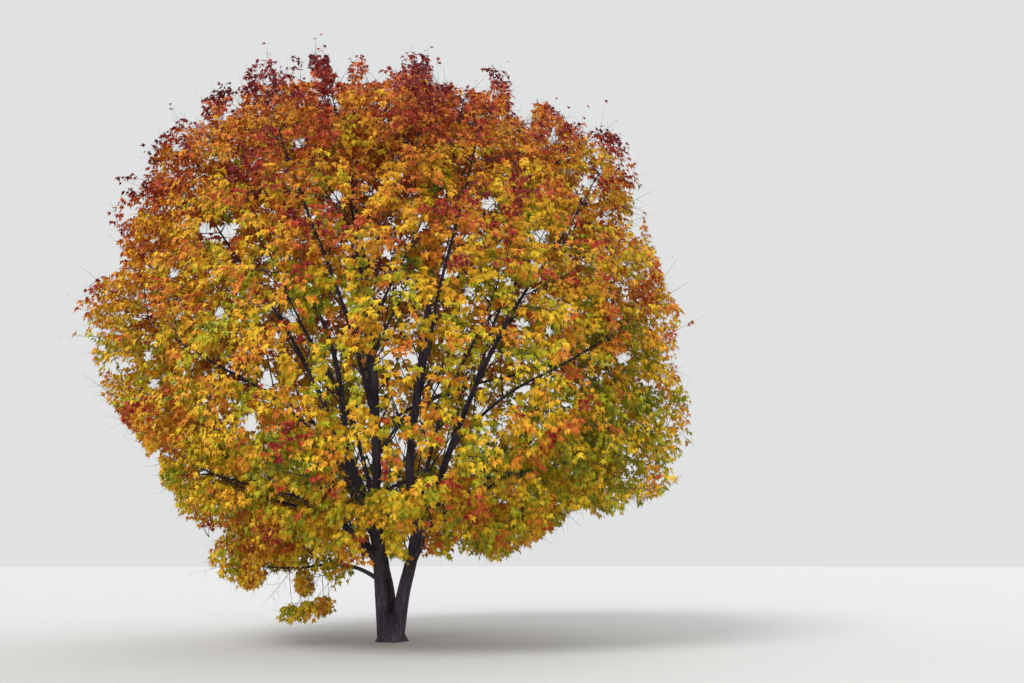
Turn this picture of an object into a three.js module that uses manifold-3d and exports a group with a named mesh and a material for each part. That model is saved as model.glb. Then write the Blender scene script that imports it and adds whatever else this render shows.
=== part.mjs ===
// Broad maple tree in autumn leaf: three stems from one root collar, boughs and 29 masses of foliage.
// Millimetres, +Z up, origin at the middle of the flat cut under the root collar.
// -Y is the side the tree is seen from, +X is to the right of that view.
import * as THREE from "three";
import { mergeVertices } from "three/addons/utils/BufferGeometryUtils.js";
import Module from "manifold-3d";

const wasm = await Module();
wasm.setup();

// Joints: every solid keeps this far from the one it grows on.
const JOINT_GAP = 0.3;

// Crown: a rounded outline 12.6 m across, measured from this centre, squarer below it than above.
const CROWN_CENTRE = new THREE.Vector3(-120, 0, 6850);
const CROWN = { radius: 6300, above: 5350, below: 5600, powerAbove: 2, powerBelow: 3.2 };
const GROUND_CLEARANCE = 450;

// Root collar.
const COLLAR_RADIUS = 235;
const COLLAR_HEIGHT = 560;
const COLLAR_SIDES = 25;
const COLLAR_RINGS = 6;
const COLLAR_MIDDLE = [-30, 30];
const COLLAR_NARROWS = 0.45;
const RING_CROWDING = 1.4;
const FLARE = 75;
const FLARE_HEIGHT = 130;
// Ridges that run out into the ground: angle round the collar in radians, size, angular width.
const ROOT_RIDGES = [[0.35, 60, 0.42], [1.55, 46, 0.5], [2.75, 62, 0.4], [3.85, 50, 0.45], [5.05, 66, 0.42]];
const STUB_END = 0.09;

// Stems: points their middle line runs through, from inside the collar to the tip.
const STEMS = {
  stem_left: {
    mass: "top_left_front", base: 142, tip: 34, sides: 8, steps: 12,
    through: [[-175, -70, 60], [-250, -120, 900], [-330, -170, 1700], [-420, -230, 2400], [-380, -330, 3500],
      [-440, -430, 4900], [-600, -520, 6700], [-780, -700, 8100], [-980, -960, 9300]],
  },
  stem_right: {
    mass: "top_right_front", base: 156, tip: 34, sides: 8, steps: 12,
    through: [[80, -20, 60], [185, -40, 900], [350, -60, 1650], [430, -40, 2400], [265, -20, 3350],
      [340, -50, 4600], [560, -190, 6500], [780, -430, 8000], [1010, -690, 9300]],
  },
  stem_back: {
    mass: "high_left_back", base: 132, tip: 34, sides: 8, steps: 11,
    through: [[-40, 120, 60], [-120, 235, 900], [-330, 320, 1700], [-760, 400, 3000], [-1130, 470, 3900],
      [-1370, 560, 5400], [-1750, 900, 6600], [-2350, 1450, 7700]],
  },
};

// Leaders and boughs: [node, mass it carries, limb it leaves, fraction along that limb, share of the limb's radius].
const LIMBS = [
  ["leader_left", "high_left", "stem_left", 0.31, 0.72],
  ["leader_right", "high_right", "stem_right", 0.25, 0.74],
  ["leader_back", "top_left_back", "stem_back", 0.2, 0.76],
  ["bough_low_droop", "low_droop", "stem_left", 0.17, 0.4],
  ["bough_low_left_front", "low_left_front", "stem_left", 0.215, 0.5],
  ["bough_low_front", "low_front", "stem_left", 0.26, 0.46],
  ["bough_mid_front", "mid_front", "stem_left", 0.4, 0.55],
  ["bough_high_left_front", "high_left_front", "stem_left", 0.56, 0.64],
  ["bough_mid_left", "mid_left", "leader_left", 0.2, 0.64],
  ["bough_low_right_front", "low_right_front", "stem_right", 0.2, 0.5],
  ["bough_mid_right_front", "mid_right_front", "stem_right", 0.37, 0.56],
  ["bough_high_right_front", "high_right_front", "stem_right", 0.55, 0.62],
  ["bough_low_right", "low_right", "leader_right", 0.13, 0.62],
  ["bough_mid_right", "mid_right", "leader_right", 0.34, 0.62],
  ["bough_high_right_back", "high_right_back", "leader_right", 0.5, 0.66],
  ["bough_low_left", "low_left", "stem_back", 0.27, 0.5],
  ["bough_low_left_back", "low_left_back", "stem_back", 0.335, 0.5],
  ["bough_mid_left_back", "mid_left_back", "stem_back", 0.53, 0.6],
  ["bough_mid_back_left", "mid_back_left", "stem_back", 0.61, 0.62],
  ["bough_low_back", "low_back", "leader_back", 0.12, 0.55],
  ["bough_low_back_right", "low_back_right", "leader_back", 0.165, 0.55],
  ["bough_low_right_back", "low_right_back", "leader_back", 0.21, 0.55],
  ["bough_mid_back", "mid_back", "leader_back", 0.3, 0.58],
  ["bough_mid_right_back", "mid_right_back", "leader_back", 0.37, 0.6],
  ["bough_high_back", "high_back", "leader_back", 0.54, 0.64],
  ["bough_top_right_back", "top_right_back", "leader_back", 0.63, 0.7],
];
const LIMB_TIP_RADIUS = 28;
const LIMB_SIDES = 6;
const LIMB_STEPS = 4;
const LIMB_LEAVES_WITH = 0.5;
const LIMB_PULL = 0.36;
const LIMB_ENTERS = 0.62;

// Masses: degrees round the crown from +X towards +Y, distance out from its upright middle line, height,
// and how far the mass swells past (over 1) or stays inside (under 1) the crown's outline.
const MASSES = {
  low_right: [-14, 3900, 3950, 1.06],
  low_right_back: [28, 3700, 3700, 0.97],
  low_back_right: [68, 3600, 3550, 0.95],
  low_back: [108, 3600, 3650, 0.95],
  low_left_back: [148, 3600, 3700, 0.94],
  low_left: [188, 3650, 3800, 0.91],
  low_left_front: [226, 3450, 3350, 0.94],
  low_front: [266, 3350, 3200, 0.96],
  low_right_front: [306, 3550, 3350, 0.97],
  low_droop: [194, 2250, 1750, 1.4],
  mid_right: [-17, 4350, 6150, 1.06],
  mid_right_back: [28, 4300, 6400, 1.01],
  mid_back: [73, 4300, 6300, 0.99],
  mid_back_left: [118, 4300, 6400, 1.01],
  mid_left_back: [163, 4300, 6250, 0.97],
  mid_left: [203, 4350, 6150, 1.02],
  mid_front: [253, 4300, 6250, 0.98],
  mid_right_front: [298, 4300, 6250, 1],
  high_right: [-12, 3900, 9100, 1.03],
  high_right_back: [39, 3700, 9000, 1.01],
  high_back: [91, 3700, 8950, 0.98],
  high_left_back: [142, 3700, 9000, 0.98],
  high_left: [194, 3850, 8900, 1.03],
  high_left_front: [245, 3700, 8950, 1.02],
  high_right_front: [297, 3700, 8950, 1],
  top_right_front: [325, 1600, 10700, 1.03],
  top_right_back: [55, 1600, 10750, 1.01],
  top_left_back: [145, 1600, 10700, 0.99],
  top_left_front: [228, 1700, 10600, 1.03],
};
const MASS_REACH = 2400;
const DROOP_REACH = 1500;
const CELL_GAP = 15;

// Growth inside a mass: shoots leave its axis in opposite pairs, each pair a quarter turn from the last.
// Lengths are shares of the mass's reach, angles degrees.
const AXIS_REACH = 0.38;
const AXIS_PULL = 0.45;
const AXIS_STEPS = 3;
const AXIS_RADIUS = [27, 18];
const PAIR_AT = [0.2, 0.44, 0.67, 0.9];
const SHOOT_LEAN = [74, 66, 56, 46];
const SHOOT_TURN_SPREAD = 0.35;
const SHOOT_LEAN_SPREAD = 9;
const SHOOT_LENGTH = [0.1, 0.55];
const SHOOT_RADIUS = [8, 7];
const SIDE_AT = [0.5, 0.8];
const SIDE_LEAN = 62;
const SIDE_LEAN_SPREAD = 12;
const SIDE_ROLL_SPREAD = 0.6;
const STALK_RADIUS = 3.2;
const MOST_SHOOTS = 15;
const TWIG_SIDES = 3;

// A spray of leaves stands as one broad blade, sizes as shares of its length.
const SPRAY_LENGTH = 1700;
const SPRAY_LEAST = 650;
const SPRAY_STEP = 0.08;
const SPRAY_WIDTH = 0.98;
const SPRAY_THICK = 0.2;
const SPRAY_WIDEST = 0.52;
const SPRAY_DROOP = 0.1;
const SPRAY_TILT = { outward: 0.5, up: 0.5, chance: 0.95 };
const SAMPLES_ALONG = [0.2, 0.36, 0.52, 0.68, 0.84, 1];
const SAMPLES_ACROSS = [-1, -0.5, 0, 0.5, 1];
const TWIG_SAMPLES = [0.15, 0.3, 0.45, 0.6, 0.75, 0.9, 1];
const SHOOT_SAMPLES = [0.5, 0.75, 1];
const LIMB_CLEARANCE = 150;
const SHOOT_CLEARANCE = 70;
const SPRAY_CLEARANCE = 130;

const BARK = { color: 0x3b2f33, roughness: 0.92, metalness: 0 };
const LEAF_TINTS = { low: 0xc9922c, mid: 0xd2642a, high: 0xb23a26, top: 0x8e2524 };
const LEAF_FINISH = { roughness: 0.75, metalness: 0 };

const UP = new THREE.Vector3(0, 0, 1);
const QUARTER = Math.PI / 2;
const v3 = (x, y, z) => new THREE.Vector3(x, y, z);
const rad = THREE.MathUtils.degToRad;

// Seeded numbers: the same seed and index always give the same value.
function hash(seed, index) {
  let h = (Math.imul(seed, 1664525) + Math.imul(index, 22695477) + 1013904223) >>> 0;
  h = Math.imul(h ^ (h >>> 16), 2246822519) >>> 0;
  h = Math.imul(h ^ (h >>> 13), 3266489917) >>> 0;
  return (h ^ (h >>> 16)) >>> 0;
}
const chance = (seed, index) => hash(seed, index) / 4294967296;
const spread = (seed, index, amount) => (chance(seed, index) * 2 - 1) * amount;

// Two directions square to an axis, the second as near upward as it can be.
function frameOf(axis) {
  const guide = Math.abs(axis.z) > 0.95 ? v3(1, 0, 0) : UP;
  const side = axis.clone().cross(guide).normalize();
  return [side, side.clone().cross(axis).normalize()];
}

// Closed tapering body with flat-sided rings along a row of points, ending in a flat cap or in a blade.
// The first and last rings lie square to the two directions given.
function taperedBody(points, radii, sides, [first, final], blade = null) {
  const rings = [];
  const end = points.length - 1;
  let side = blade ? blade.side : null;
  for (let i = end; i >= 0; i -= 1) {
    const chord = () => points[i + 1].clone().sub(points[i - 1]).normalize();
    const along = i === end ? final : i === 0 ? first : chord();
    if (side === null) [side] = frameOf(along);
    side = side.clone().addScaledVector(along, -side.dot(along)).normalize();
    const up = along.clone().cross(side);
    rings.unshift(Array.from({ length: sides }, (_, k) => {
      const a = QUARTER + (k / sides) * 2 * Math.PI;
      return points[i].clone().addScaledVector(side, Math.cos(a) * radii[i]).addScaledVector(up, Math.sin(a) * radii[i]);
    }));
  }
  const corners = rings.flat();
  const index = [];
  const last = (points.length - 1) * sides;
  for (let i = 0; i < last; i += sides) {
    for (let k = 0; k < sides; k += 1) {
      const n = (k + 1) % sides;
      index.push(i + k, i + n, i + sides + n, i + k, i + sides + n, i + sides + k);
    }
  }
  for (let k = 1; k < sides - 1; k += 1) {
    index.push(0, k + 1, k);
    if (!blade) index.push(last, last + k, last + k + 1);
  }
  if (blade) {
    corners.push(...blade.corners);
    const [over, left, right] = [last, last + 1, last + 2];
    const [east, north, west, south, tip] = [0, 1, 2, 3, 4].map((k) => last + sides + k);
    index.push(right, over, east, over, north, east, over, west, north, over, left, west,
      left, south, west, left, right, south, right, east, south,
      east, north, tip, north, west, tip, west, south, tip, south, east, tip);
  }
  return closedGeometry(corners.flatMap((p) => [p.x, p.y, p.z]), index);
}

function closedGeometry(positions, index) {
  const geometry = new THREE.BufferGeometry();
  geometry.setAttribute("position", new THREE.Float32BufferAttribute(positions, 3));
  geometry.setIndex(index);
  return geometry;
}

function toManifold(geometry) {
  const merged = mergeVertices(geometry);
  return new wasm.Manifold(new wasm.Mesh({
    numProp: 3,
    vertProperties: new Float32Array(merged.attributes.position.array),
    triVerts: new Uint32Array(merged.index.array),
  }));
}

// The largest body that fusing leaves: loose scraps and sealed hollows go.
function toGeometry(solid) {
  const bodies = solid.decompose();
  const largest = bodies.reduce((best, body) => (body.volume() > best.volume() ? body : best));
  const mesh = largest.getMesh();
  return closedGeometry(Array.from(mesh.vertProperties), Array.from(mesh.triVerts));
}

// Limbs.
const massReach = (name) => (name === "low_droop" ? DROOP_REACH : MASS_REACH);
function massCentre(name) {
  const [turn, out, height] = MASSES[name];
  return v3(CROWN_CENTRE.x + Math.cos(rad(turn)) * out, CROWN_CENTRE.y + Math.sin(rad(turn)) * out, height);
}

function limbRecord(name, mass, curve, base, tip, sides, steps, from = 0) {
  const ends = [curve.getTangent(from), curve.getTangent(1)];
  const shares = Array.from({ length: steps + 1 }, (_, i) => THREE.MathUtils.lerp(from, 1, i / steps));
  const points = shares.map((t) => curve.getPoint(t));
  if (from > 0) points[0].addScaledVector(curve.getTangent(from), JOINT_GAP);
  return { name, mass, curve, base, tip, sides, ends, points, radii: shares.map((t) => THREE.MathUtils.lerp(base, tip, t)) };
}

const limbs = {};
for (const [name, s] of Object.entries(STEMS)) {
  const curve = new THREE.CatmullRomCurve3(s.through.map((p) => v3(...p)), false, "catmullrom", 0.5);
  limbs[name] = limbRecord(name, s.mass, curve, s.base, s.tip, s.sides, s.steps, STUB_END);
}
for (const [name, mass, parentName, at, share] of LIMBS) {
  const parent = limbs[parentName];
  const start = parent.curve.getPoint(at);
  const centre = massCentre(mass);
  const straight = centre.clone().sub(start).normalize();
  const end = centre.clone().addScaledVector(straight, -LIMB_ENTERS * massReach(mass));
  const pull = end.distanceTo(start) * LIMB_PULL;
  const leaving = parent.curve.getTangent(at).multiplyScalar(LIMB_LEAVES_WITH).add(straight).normalize();
  const outward = centre.clone().sub(CROWN_CENTRE).normalize();
  const arriving = straight.clone().addScaledVector(outward, LIMB_LEAVES_WITH).normalize();
  const curve = new THREE.CubicBezierCurve3(
    start, start.clone().addScaledVector(leaving, pull), end.clone().addScaledVector(arriving, -pull), end);
  const base = THREE.MathUtils.lerp(parent.base, parent.tip, at) * share;
  limbs[name] = limbRecord(name, mass, curve, base, LIMB_TIP_RADIUS, LIMB_SIDES, LIMB_STEPS);
  limbs[name].parent = parentName;
}

// Spaces of the masses: nearest centre wins, within the mass's reach and the crown's outline, clear of the ground.
const cells = Object.fromEntries(Object.keys(MASSES).map((name) => (
  [name, { centre: massCentre(name), reach: massReach(name), swell: MASSES[name][3] }])));
function insideCell(name, p) {
  const { centre, reach, swell } = cells[name];
  if (p.z < GROUND_CLEARANCE || p.distanceTo(centre) > reach) return false;
  const off = p.clone().sub(CROWN_CENTRE).divideScalar(swell);
  const [tall, power] = off.z > 0 ? [CROWN.above, CROWN.powerAbove] : [CROWN.below, CROWN.powerBelow];
  if ((Math.hypot(off.x, off.y) / CROWN.radius) ** power + (Math.abs(off.z) / tall) ** power > 1) return false;
  return Object.entries(cells).every(([other, o]) => {
    if (other === name) return true;
    const between = o.centre.clone().sub(centre);
    const middle = o.centre.clone().add(centre).multiplyScalar(0.5);
    return p.clone().sub(middle).dot(between) / between.length() < -CELL_GAP;
  });
}

const limbSegments = Object.values(limbs).flatMap((limb) => limb.points.slice(1).map((end, i) => (
  { line: new THREE.Line3(limb.points[i], end), radius: limb.radii[i] })));
function clearOfLimbs(points, clearance) {
  const nearest = v3(0, 0, 0);
  return points.every((p) => limbSegments.every(({ line, radius }) => {
    line.closestPointToPoint(p, true, nearest);
    return nearest.distanceTo(p) > radius + clearance;
  }));
}

// The blade of a spray: its corners, and points spread over it for measuring how near other things are.
function bladeOf(base, along, length, outward, seed) {
  const tilt = outward.clone().multiplyScalar(SPRAY_TILT.outward).addScaledVector(UP, SPRAY_TILT.up)
    .add(v3(spread(seed, 1, SPRAY_TILT.chance), spread(seed, 2, SPRAY_TILT.chance), spread(seed, 3, SPRAY_TILT.chance)));
  const face = tilt.addScaledVector(along, -tilt.dot(along)).normalize();
  const side = face.clone().cross(along).normalize();
  const at = (forward, across, out) => base.clone().addScaledVector(along, forward * length)
    .addScaledVector(side, across * length).addScaledVector(face, out * length);
  const half = SPRAY_WIDTH / 2;
  const sag = -SPRAY_DROOP / 2;
  const corners = [at(SPRAY_WIDEST, half, sag), at(SPRAY_WIDEST, 0, SPRAY_THICK / 2), at(SPRAY_WIDEST, -half, sag),
    at(SPRAY_WIDEST, 0, -SPRAY_THICK / 2), at(1, 0, -SPRAY_DROOP)];
  const samples = SAMPLES_ALONG.flatMap((forward) => {
    const wide = half * (forward < SPRAY_WIDEST ? forward / SPRAY_WIDEST : (1 - forward) / (1 - SPRAY_WIDEST));
    return SAMPLES_ACROSS.map((across) => at(forward, across * wide, -SPRAY_DROOP * forward * forward));
  });
  return { base, along, side, face, length, seed, corners, samples };
}

const farFrom = (points, others, clearance) => points.every((p) => others.every((o) => p.distanceTo(o) > clearance));

// Grows one mass: twigs with their blades, inside its own space, clear of limbs and of each other.
function growMass(name, tipPoint, tipDirection, seed) {
  const { centre, reach } = cells[name];
  const outward = centre.clone().sub(CROWN_CENTRE).normalize();
  const inside = (p) => insideCell(name, p);
  const shoots = [];
  const taken = [];

  // The longest blade, a step at a time, that fits; none when even the shortest does not.
  const fitBlade = (base, along, planned, bladeSeed, skipped) => {
    for (let length = planned; length >= SPRAY_LEAST; length -= SPRAY_STEP * planned) {
      const blade = bladeOf(base, along, length, outward, bladeSeed);
      const outer = blade.samples.slice(skipped * SAMPLES_ACROSS.length);
      if (blade.corners.every(inside) && clearOfLimbs(blade.samples, LIMB_CLEARANCE)
        && farFrom(outer, taken, SPRAY_CLEARANCE)) return blade;
    }
    return null;
  };
  const keep = (points, radii, ends, blade) => {
    const shoot = { points, radii, ends, blade };
    shoots.push(shoot);
    if (points.length === 2) taken.push(...TWIG_SAMPLES.map((f) => points[0].clone().lerp(points[1], f)));
    if (blade) taken.push(...blade.samples);
    return shoot;
  };

  // Axis of the mass, on from the limb.
  const start = tipPoint.clone().addScaledVector(tipDirection, JOINT_GAP);
  const aim = centre.clone().sub(start).normalize().add(outward).normalize();
  const end = centre.clone().addScaledVector(aim, AXIS_REACH * reach);
  const axis = new THREE.QuadraticBezierCurve3(
    start, start.clone().addScaledVector(tipDirection, start.distanceTo(end) * AXIS_PULL), end);
  const axisPoints = axis.getPoints(AXIS_STEPS);
  const axisRadii = axisPoints.map((_, i) => THREE.MathUtils.lerp(...AXIS_RADIUS, i / AXIS_STEPS));
  keep(axisPoints, axisRadii, [tipDirection, axis.getTangent(1)], fitBlade(end, axis.getTangent(1), SPRAY_LENGTH, hash(seed, 7), 0));
  taken.push(...TWIG_SAMPLES.map((f) => axis.getPoint(f)));

  // Pairs of shoots, the outermost first, each ending in a blade; then blades from the sides of the shoots.
  for (let pair = PAIR_AT.length - 1; pair >= 0; pair -= 1) {
    const origin = axis.getPoint(PAIR_AT[pair]);
    const forward = axis.getTangent(PAIR_AT[pair]);
    const [side, up] = frameOf(forward);
    for (const half of [0, 1]) {
      const shootSeed = hash(seed, 20 + pair * 2 + half);
      const turn = pair * QUARTER + half * Math.PI + QUARTER / 2 + spread(shootSeed, 1, SHOOT_TURN_SPREAD);
      const lean = rad(SHOOT_LEAN[pair] + spread(shootSeed, 2, SHOOT_LEAN_SPREAD));
      const along = forward.clone().multiplyScalar(Math.cos(lean))
        .addScaledVector(side, Math.cos(turn) * Math.sin(lean)).addScaledVector(up, Math.sin(turn) * Math.sin(lean));
      const room = (l) => inside(origin.clone().addScaledVector(along, l));
      let total = SHOOT_LENGTH[1] * reach + SPRAY_LENGTH;
      while (total > 0 && !room(total)) total -= SPRAY_STEP * reach;
      const length = Math.max(total - SPRAY_LENGTH, SHOOT_LENGTH[0] * reach);
      const points = [origin, origin.clone().addScaledVector(along, length)];
      const clear = clearOfLimbs(SHOOT_SAMPLES.map((f) => origin.clone().lerp(points[1], f)), SHOOT_CLEARANCE);
      if (!clear || total - length < SPRAY_LEAST) continue;
      const blade = fitBlade(points[1], along, Math.min(total - length, SPRAY_LENGTH), hash(shootSeed, 30), 0);
      if (blade) keep(points, SHOOT_RADIUS, [along, along], blade).seed = shootSeed;
    }
  }
  for (const shoot of shoots.slice()) {
    const [from, to] = [shoot.points[0], shoot.points[shoot.points.length - 1]];
    const direction = to.clone().sub(from).normalize();
    const [across, over] = frameOf(direction);
    for (const hand of [-1, 1]) {
      const bladeSeed = hash(shoot.seed ?? seed, 41 + hand);
      const lean = rad(SIDE_LEAN + spread(bladeSeed, 5, SIDE_LEAN_SPREAD));
      const roll = spread(bladeSeed, 6, SIDE_ROLL_SPREAD);
      const sideways = direction.clone().multiplyScalar(Math.cos(lean))
        .addScaledVector(across, Math.cos(roll) * hand * Math.sin(lean)).addScaledVector(over, Math.sin(roll) * Math.sin(lean));
      const at = THREE.MathUtils.lerp(...SIDE_AT, chance(bladeSeed, 7));
      const base = shoot.points.length > 2 ? axis.getPoint(at) : from.clone().lerp(to, at);
      const blade = fitBlade(base, sideways, SPRAY_LENGTH, bladeSeed, 1);
      if (blade && shoots.length < MOST_SHOOTS) keep([base], [STALK_RADIUS], [sideways, sideways], blade);
    }
  }
  return shoots;
}

// Building the nodes.
const group = new THREE.Group();
function addNode(name, geometry, look) {
  geometry.computeVertexNormals();
  const mesh = new THREE.Mesh(geometry, new THREE.MeshStandardMaterial(look));
  mesh.name = name;
  group.add(mesh);
}

// Widening that keeps the flat faces of a ring-built body a joint gap away.
const widened = (limb) => {
  const extra = JOINT_GAP / Math.cos(Math.PI / limb.sides);
  return toManifold(taperedBody(limb.points, limb.radii.map((r) => r + extra), limb.sides, limb.ends));
};

// Root collar with ridges running into the ground and three stubs that the stems stand on.
function collarGeometry() {
  const positions = [];
  const index = [];
  for (let ring = 0; ring < COLLAR_RINGS; ring += 1) {
    const up = ring / (COLLAR_RINGS - 1);
    const z = COLLAR_HEIGHT * up ** RING_CROWDING;
    const fade = Math.exp(-z / FLARE_HEIGHT);
    for (let k = 0; k < COLLAR_SIDES; k += 1) {
      const a = (k / COLLAR_SIDES) * 2 * Math.PI;
      const ridges = ROOT_RIDGES.reduce((sum, [middle, size, width]) => {
        const off = Math.atan2(Math.sin(a - middle), Math.cos(a - middle));
        return sum + size * Math.exp(-((off / width) ** 2));
      }, 0);
      const narrowing = 1 - COLLAR_NARROWS * up ** 3;
      const r = (COLLAR_RADIUS + FLARE * fade) * narrowing + ridges * fade;
      positions.push(COLLAR_MIDDLE[0] + Math.cos(a) * r, COLLAR_MIDDLE[1] + Math.sin(a) * r, z);
    }
  }
  const last = (COLLAR_RINGS - 1) * COLLAR_SIDES;
  const foot = COLLAR_RINGS * COLLAR_SIDES;
  positions.push(COLLAR_MIDDLE[0], COLLAR_MIDDLE[1], 0, COLLAR_MIDDLE[0], COLLAR_MIDDLE[1], COLLAR_HEIGHT);
  for (let k = 0; k < COLLAR_SIDES; k += 1) {
    const n = (k + 1) % COLLAR_SIDES;
    for (let i = 0; i < last; i += COLLAR_SIDES) {
      index.push(i + k, i + n, i + COLLAR_SIDES + n, i + k, i + COLLAR_SIDES + n, i + COLLAR_SIDES + k);
    }
    index.push(foot, n, k, foot + 1, last + k, last + n);
  }
  return closedGeometry(positions, index);
}

let trunk = toManifold(collarGeometry());
for (const name of Object.keys(STEMS)) {
  const { curve, base, tip, sides } = limbs[name];
  const stub = taperedBody([0, STUB_END].map((t) => curve.getPoint(t)), [base, THREE.MathUtils.lerp(base, tip, STUB_END)],
    sides, [0, STUB_END].map((t) => curve.getTangent(t)));
  trunk = trunk.add(toManifold(stub));
}
addNode("trunk", toGeometry(trunk), BARK);

for (const limb of Object.values(limbs)) {
  let body = toManifold(taperedBody(limb.points, limb.radii, limb.sides, limb.ends));
  for (let older = limb.parent; older; older = limbs[older].parent) body = body.subtract(widened(limbs[older]));
  addNode(limb.name, toGeometry(body), BARK);
}

Object.values(limbs).forEach((limb, number) => {
  const tip = limb.points[limb.points.length - 1];
  const shoots = growMass(limb.mass, tip, limb.curve.getTangent(1), number + 11);
  const bodies = shoots.map((shoot) => toManifold(taperedBody(shoot.points, shoot.radii, TWIG_SIDES, shoot.ends, shoot.blade)));
  const body = bodies.reduce((sum, next) => sum.add(next));
  addNode(`foliage_${limb.mass}`, toGeometry(body), { color: LEAF_TINTS[limb.mass.split("_")[0]], ...LEAF_FINISH });
});

export default group;
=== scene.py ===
# %% [markdown]
# # A broad maple in autumn leaf
# The tree stands on three stems that share one root collar. The stems, leaders and boughs are taken over from
# the CAD model, and each mass of foliage is grown again here, by the same rule, down to single leaves.

# %% Load the frame
import math
import bpy
import numpy as np
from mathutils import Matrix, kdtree


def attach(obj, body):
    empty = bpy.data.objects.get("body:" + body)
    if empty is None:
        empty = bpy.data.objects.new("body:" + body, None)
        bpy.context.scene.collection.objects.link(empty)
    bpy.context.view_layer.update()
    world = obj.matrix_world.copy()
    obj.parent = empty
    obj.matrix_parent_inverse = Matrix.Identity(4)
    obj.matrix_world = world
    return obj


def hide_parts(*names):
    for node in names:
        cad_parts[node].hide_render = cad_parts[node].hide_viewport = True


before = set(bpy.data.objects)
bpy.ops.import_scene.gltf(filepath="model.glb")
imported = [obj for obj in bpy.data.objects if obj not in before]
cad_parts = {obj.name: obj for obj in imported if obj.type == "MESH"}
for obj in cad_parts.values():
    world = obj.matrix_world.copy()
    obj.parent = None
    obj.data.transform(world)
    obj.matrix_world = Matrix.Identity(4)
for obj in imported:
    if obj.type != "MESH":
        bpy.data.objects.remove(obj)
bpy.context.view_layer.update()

# %% [markdown]
# ## Small helpers
# Everything is worked out in millimetres, like the CAD source, and turned to metres when a mesh is made.
# Colours are written as sRGB hex values and turned to the linear values that the shader wants.

# %% Helpers for colours, shader nodes and meshes
MM = 0.001


def linear(hex_value):
    channels = [int(hex_value[i:i + 2], 16) / 255 for i in (0, 2, 4)]
    return [c / 12.92 if c <= 0.04045 else ((c + 0.055) / 1.055) ** 2.4 for c in channels] + [1.0]


def add_node(tree, kind, settings=None, **inputs):
    """Adds one shader node. An input is a plain value, or an output socket to link from."""
    made = tree.nodes.new(kind)
    for key, value in (settings or {}).items():
        setattr(made, key, value)
    for key, value in inputs.items():
        socket = made.inputs[key.replace("_", " ")]
        if isinstance(value, bpy.types.NodeSocket):
            tree.links.new(value, socket)
        else:
            socket.default_value = value
    return made


def mesh_from(name, corners, triangles, materials, dealt=None, smooth=False):
    """One mesh object from arrays of corners in millimetres and of triangles, standing at the origin."""
    mesh = bpy.data.meshes.new(name)
    mesh.vertices.add(len(corners))
    mesh.vertices.foreach_set("co", (np.asarray(corners) * MM).astype(np.float32).ravel())
    mesh.loops.add(len(triangles) * 3)
    mesh.loops.foreach_set("vertex_index", np.asarray(triangles, np.int32).ravel())
    mesh.polygons.add(len(triangles))
    mesh.polygons.foreach_set("loop_start", np.arange(0, len(triangles) * 3, 3, dtype=np.int32))
    mesh.polygons.foreach_set("use_smooth", np.full(len(triangles), smooth))
    if dealt is not None:
        mesh.polygons.foreach_set("material_index", np.asarray(dealt, np.int32))
    mesh.update(calc_edges=True)
    for material in materials:
        mesh.materials.append(material)
    made = bpy.data.objects.new(name, mesh)
    bpy.context.scene.collection.objects.link(made)
    print(f"{name}: {len(corners)} corners, {len(triangles)} triangles")
    return made


def unit(v):
    return v / np.linalg.norm(v, axis=-1, keepdims=True)


def lerp(a, b, t):
    return a + (b - a) * t


def smooth_step(low, high, value):
    t = np.clip((value - low) / (high - low), 0, 1)
    return t * t * (3 - 2 * t)


# %% [markdown]
# ## Seeded numbers
# The CAD source deals its small differences with a hash of a seed and an index. The same hash here gives the
# same tree. Finer twigs and leaves, which the source doesn't have, take theirs from one seeded generator.

# %% Seeded numbers, as in the source
WORD = 0xFFFFFFFF
LEAF_SEED = 20


def hash32(seed, index):
    h = (seed * 1664525 + index * 22695477 + 1013904223) & WORD
    h = ((h ^ (h >> 16)) * 2246822519) & WORD
    h = ((h ^ (h >> 13)) * 3266489917) & WORD
    return h ^ (h >> 16)


def chance(seed, index):
    return hash32(seed, index) / 4294967296


def spread(seed, index, amount):
    return (chance(seed, index) * 2 - 1) * amount


rng = np.random.default_rng(LEAF_SEED)

# %% [markdown]
# ## The tree's own measures
# These are the source's values: where the stems run, which limb carries which mass of foliage, and where each
# mass sits in the crown. They are kept as plain tables, so that the two models can be set side by side.

# %% Measures taken over from the CAD source
JOINT_GAP = 0.3
CROWN_CENTRE = np.array([-120.0, 0, 6850])
CROWN = {"radius": 6300, "above": 5350, "below": 5600, "power_above": 2, "power_below": 3.2}
GROUND_CLEARANCE = 450

COLLAR_RADIUS, COLLAR_HEIGHT, COLLAR_MIDDLE = 235, 560, np.array([-30.0, 30])
COLLAR_NARROWS, RING_CROWDING, FLARE, FLARE_HEIGHT = 0.45, 1.4, 75, 130
ROOT_RIDGES = [[0.35, 60, 0.42], [1.55, 46, 0.5], [2.75, 62, 0.4], [3.85, 50, 0.45], [5.05, 66, 0.42]]

STEMS = {
    "stem_left": ("top_left_front", 142, 34, 12, [
        [-175, -70, 60], [-250, -120, 900], [-330, -170, 1700], [-420, -230, 2400], [-380, -330, 3500],
        [-440, -430, 4900], [-600, -520, 6700], [-780, -700, 8100], [-980, -960, 9300]]),
    "stem_right": ("top_right_front", 156, 34, 12, [
        [80, -20, 60], [185, -40, 900], [350, -60, 1650], [430, -40, 2400], [265, -20, 3350],
        [340, -50, 4600], [560, -190, 6500], [780, -430, 8000], [1010, -690, 9300]]),
    "stem_back": ("high_left_back", 132, 34, 11, [
        [-40, 120, 60], [-120, 235, 900], [-330, 320, 1700], [-760, 400, 3000], [-1130, 470, 3900],
        [-1370, 560, 5400], [-1750, 900, 6600], [-2350, 1450, 7700]]),
}
STUB_END = 0.09
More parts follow.
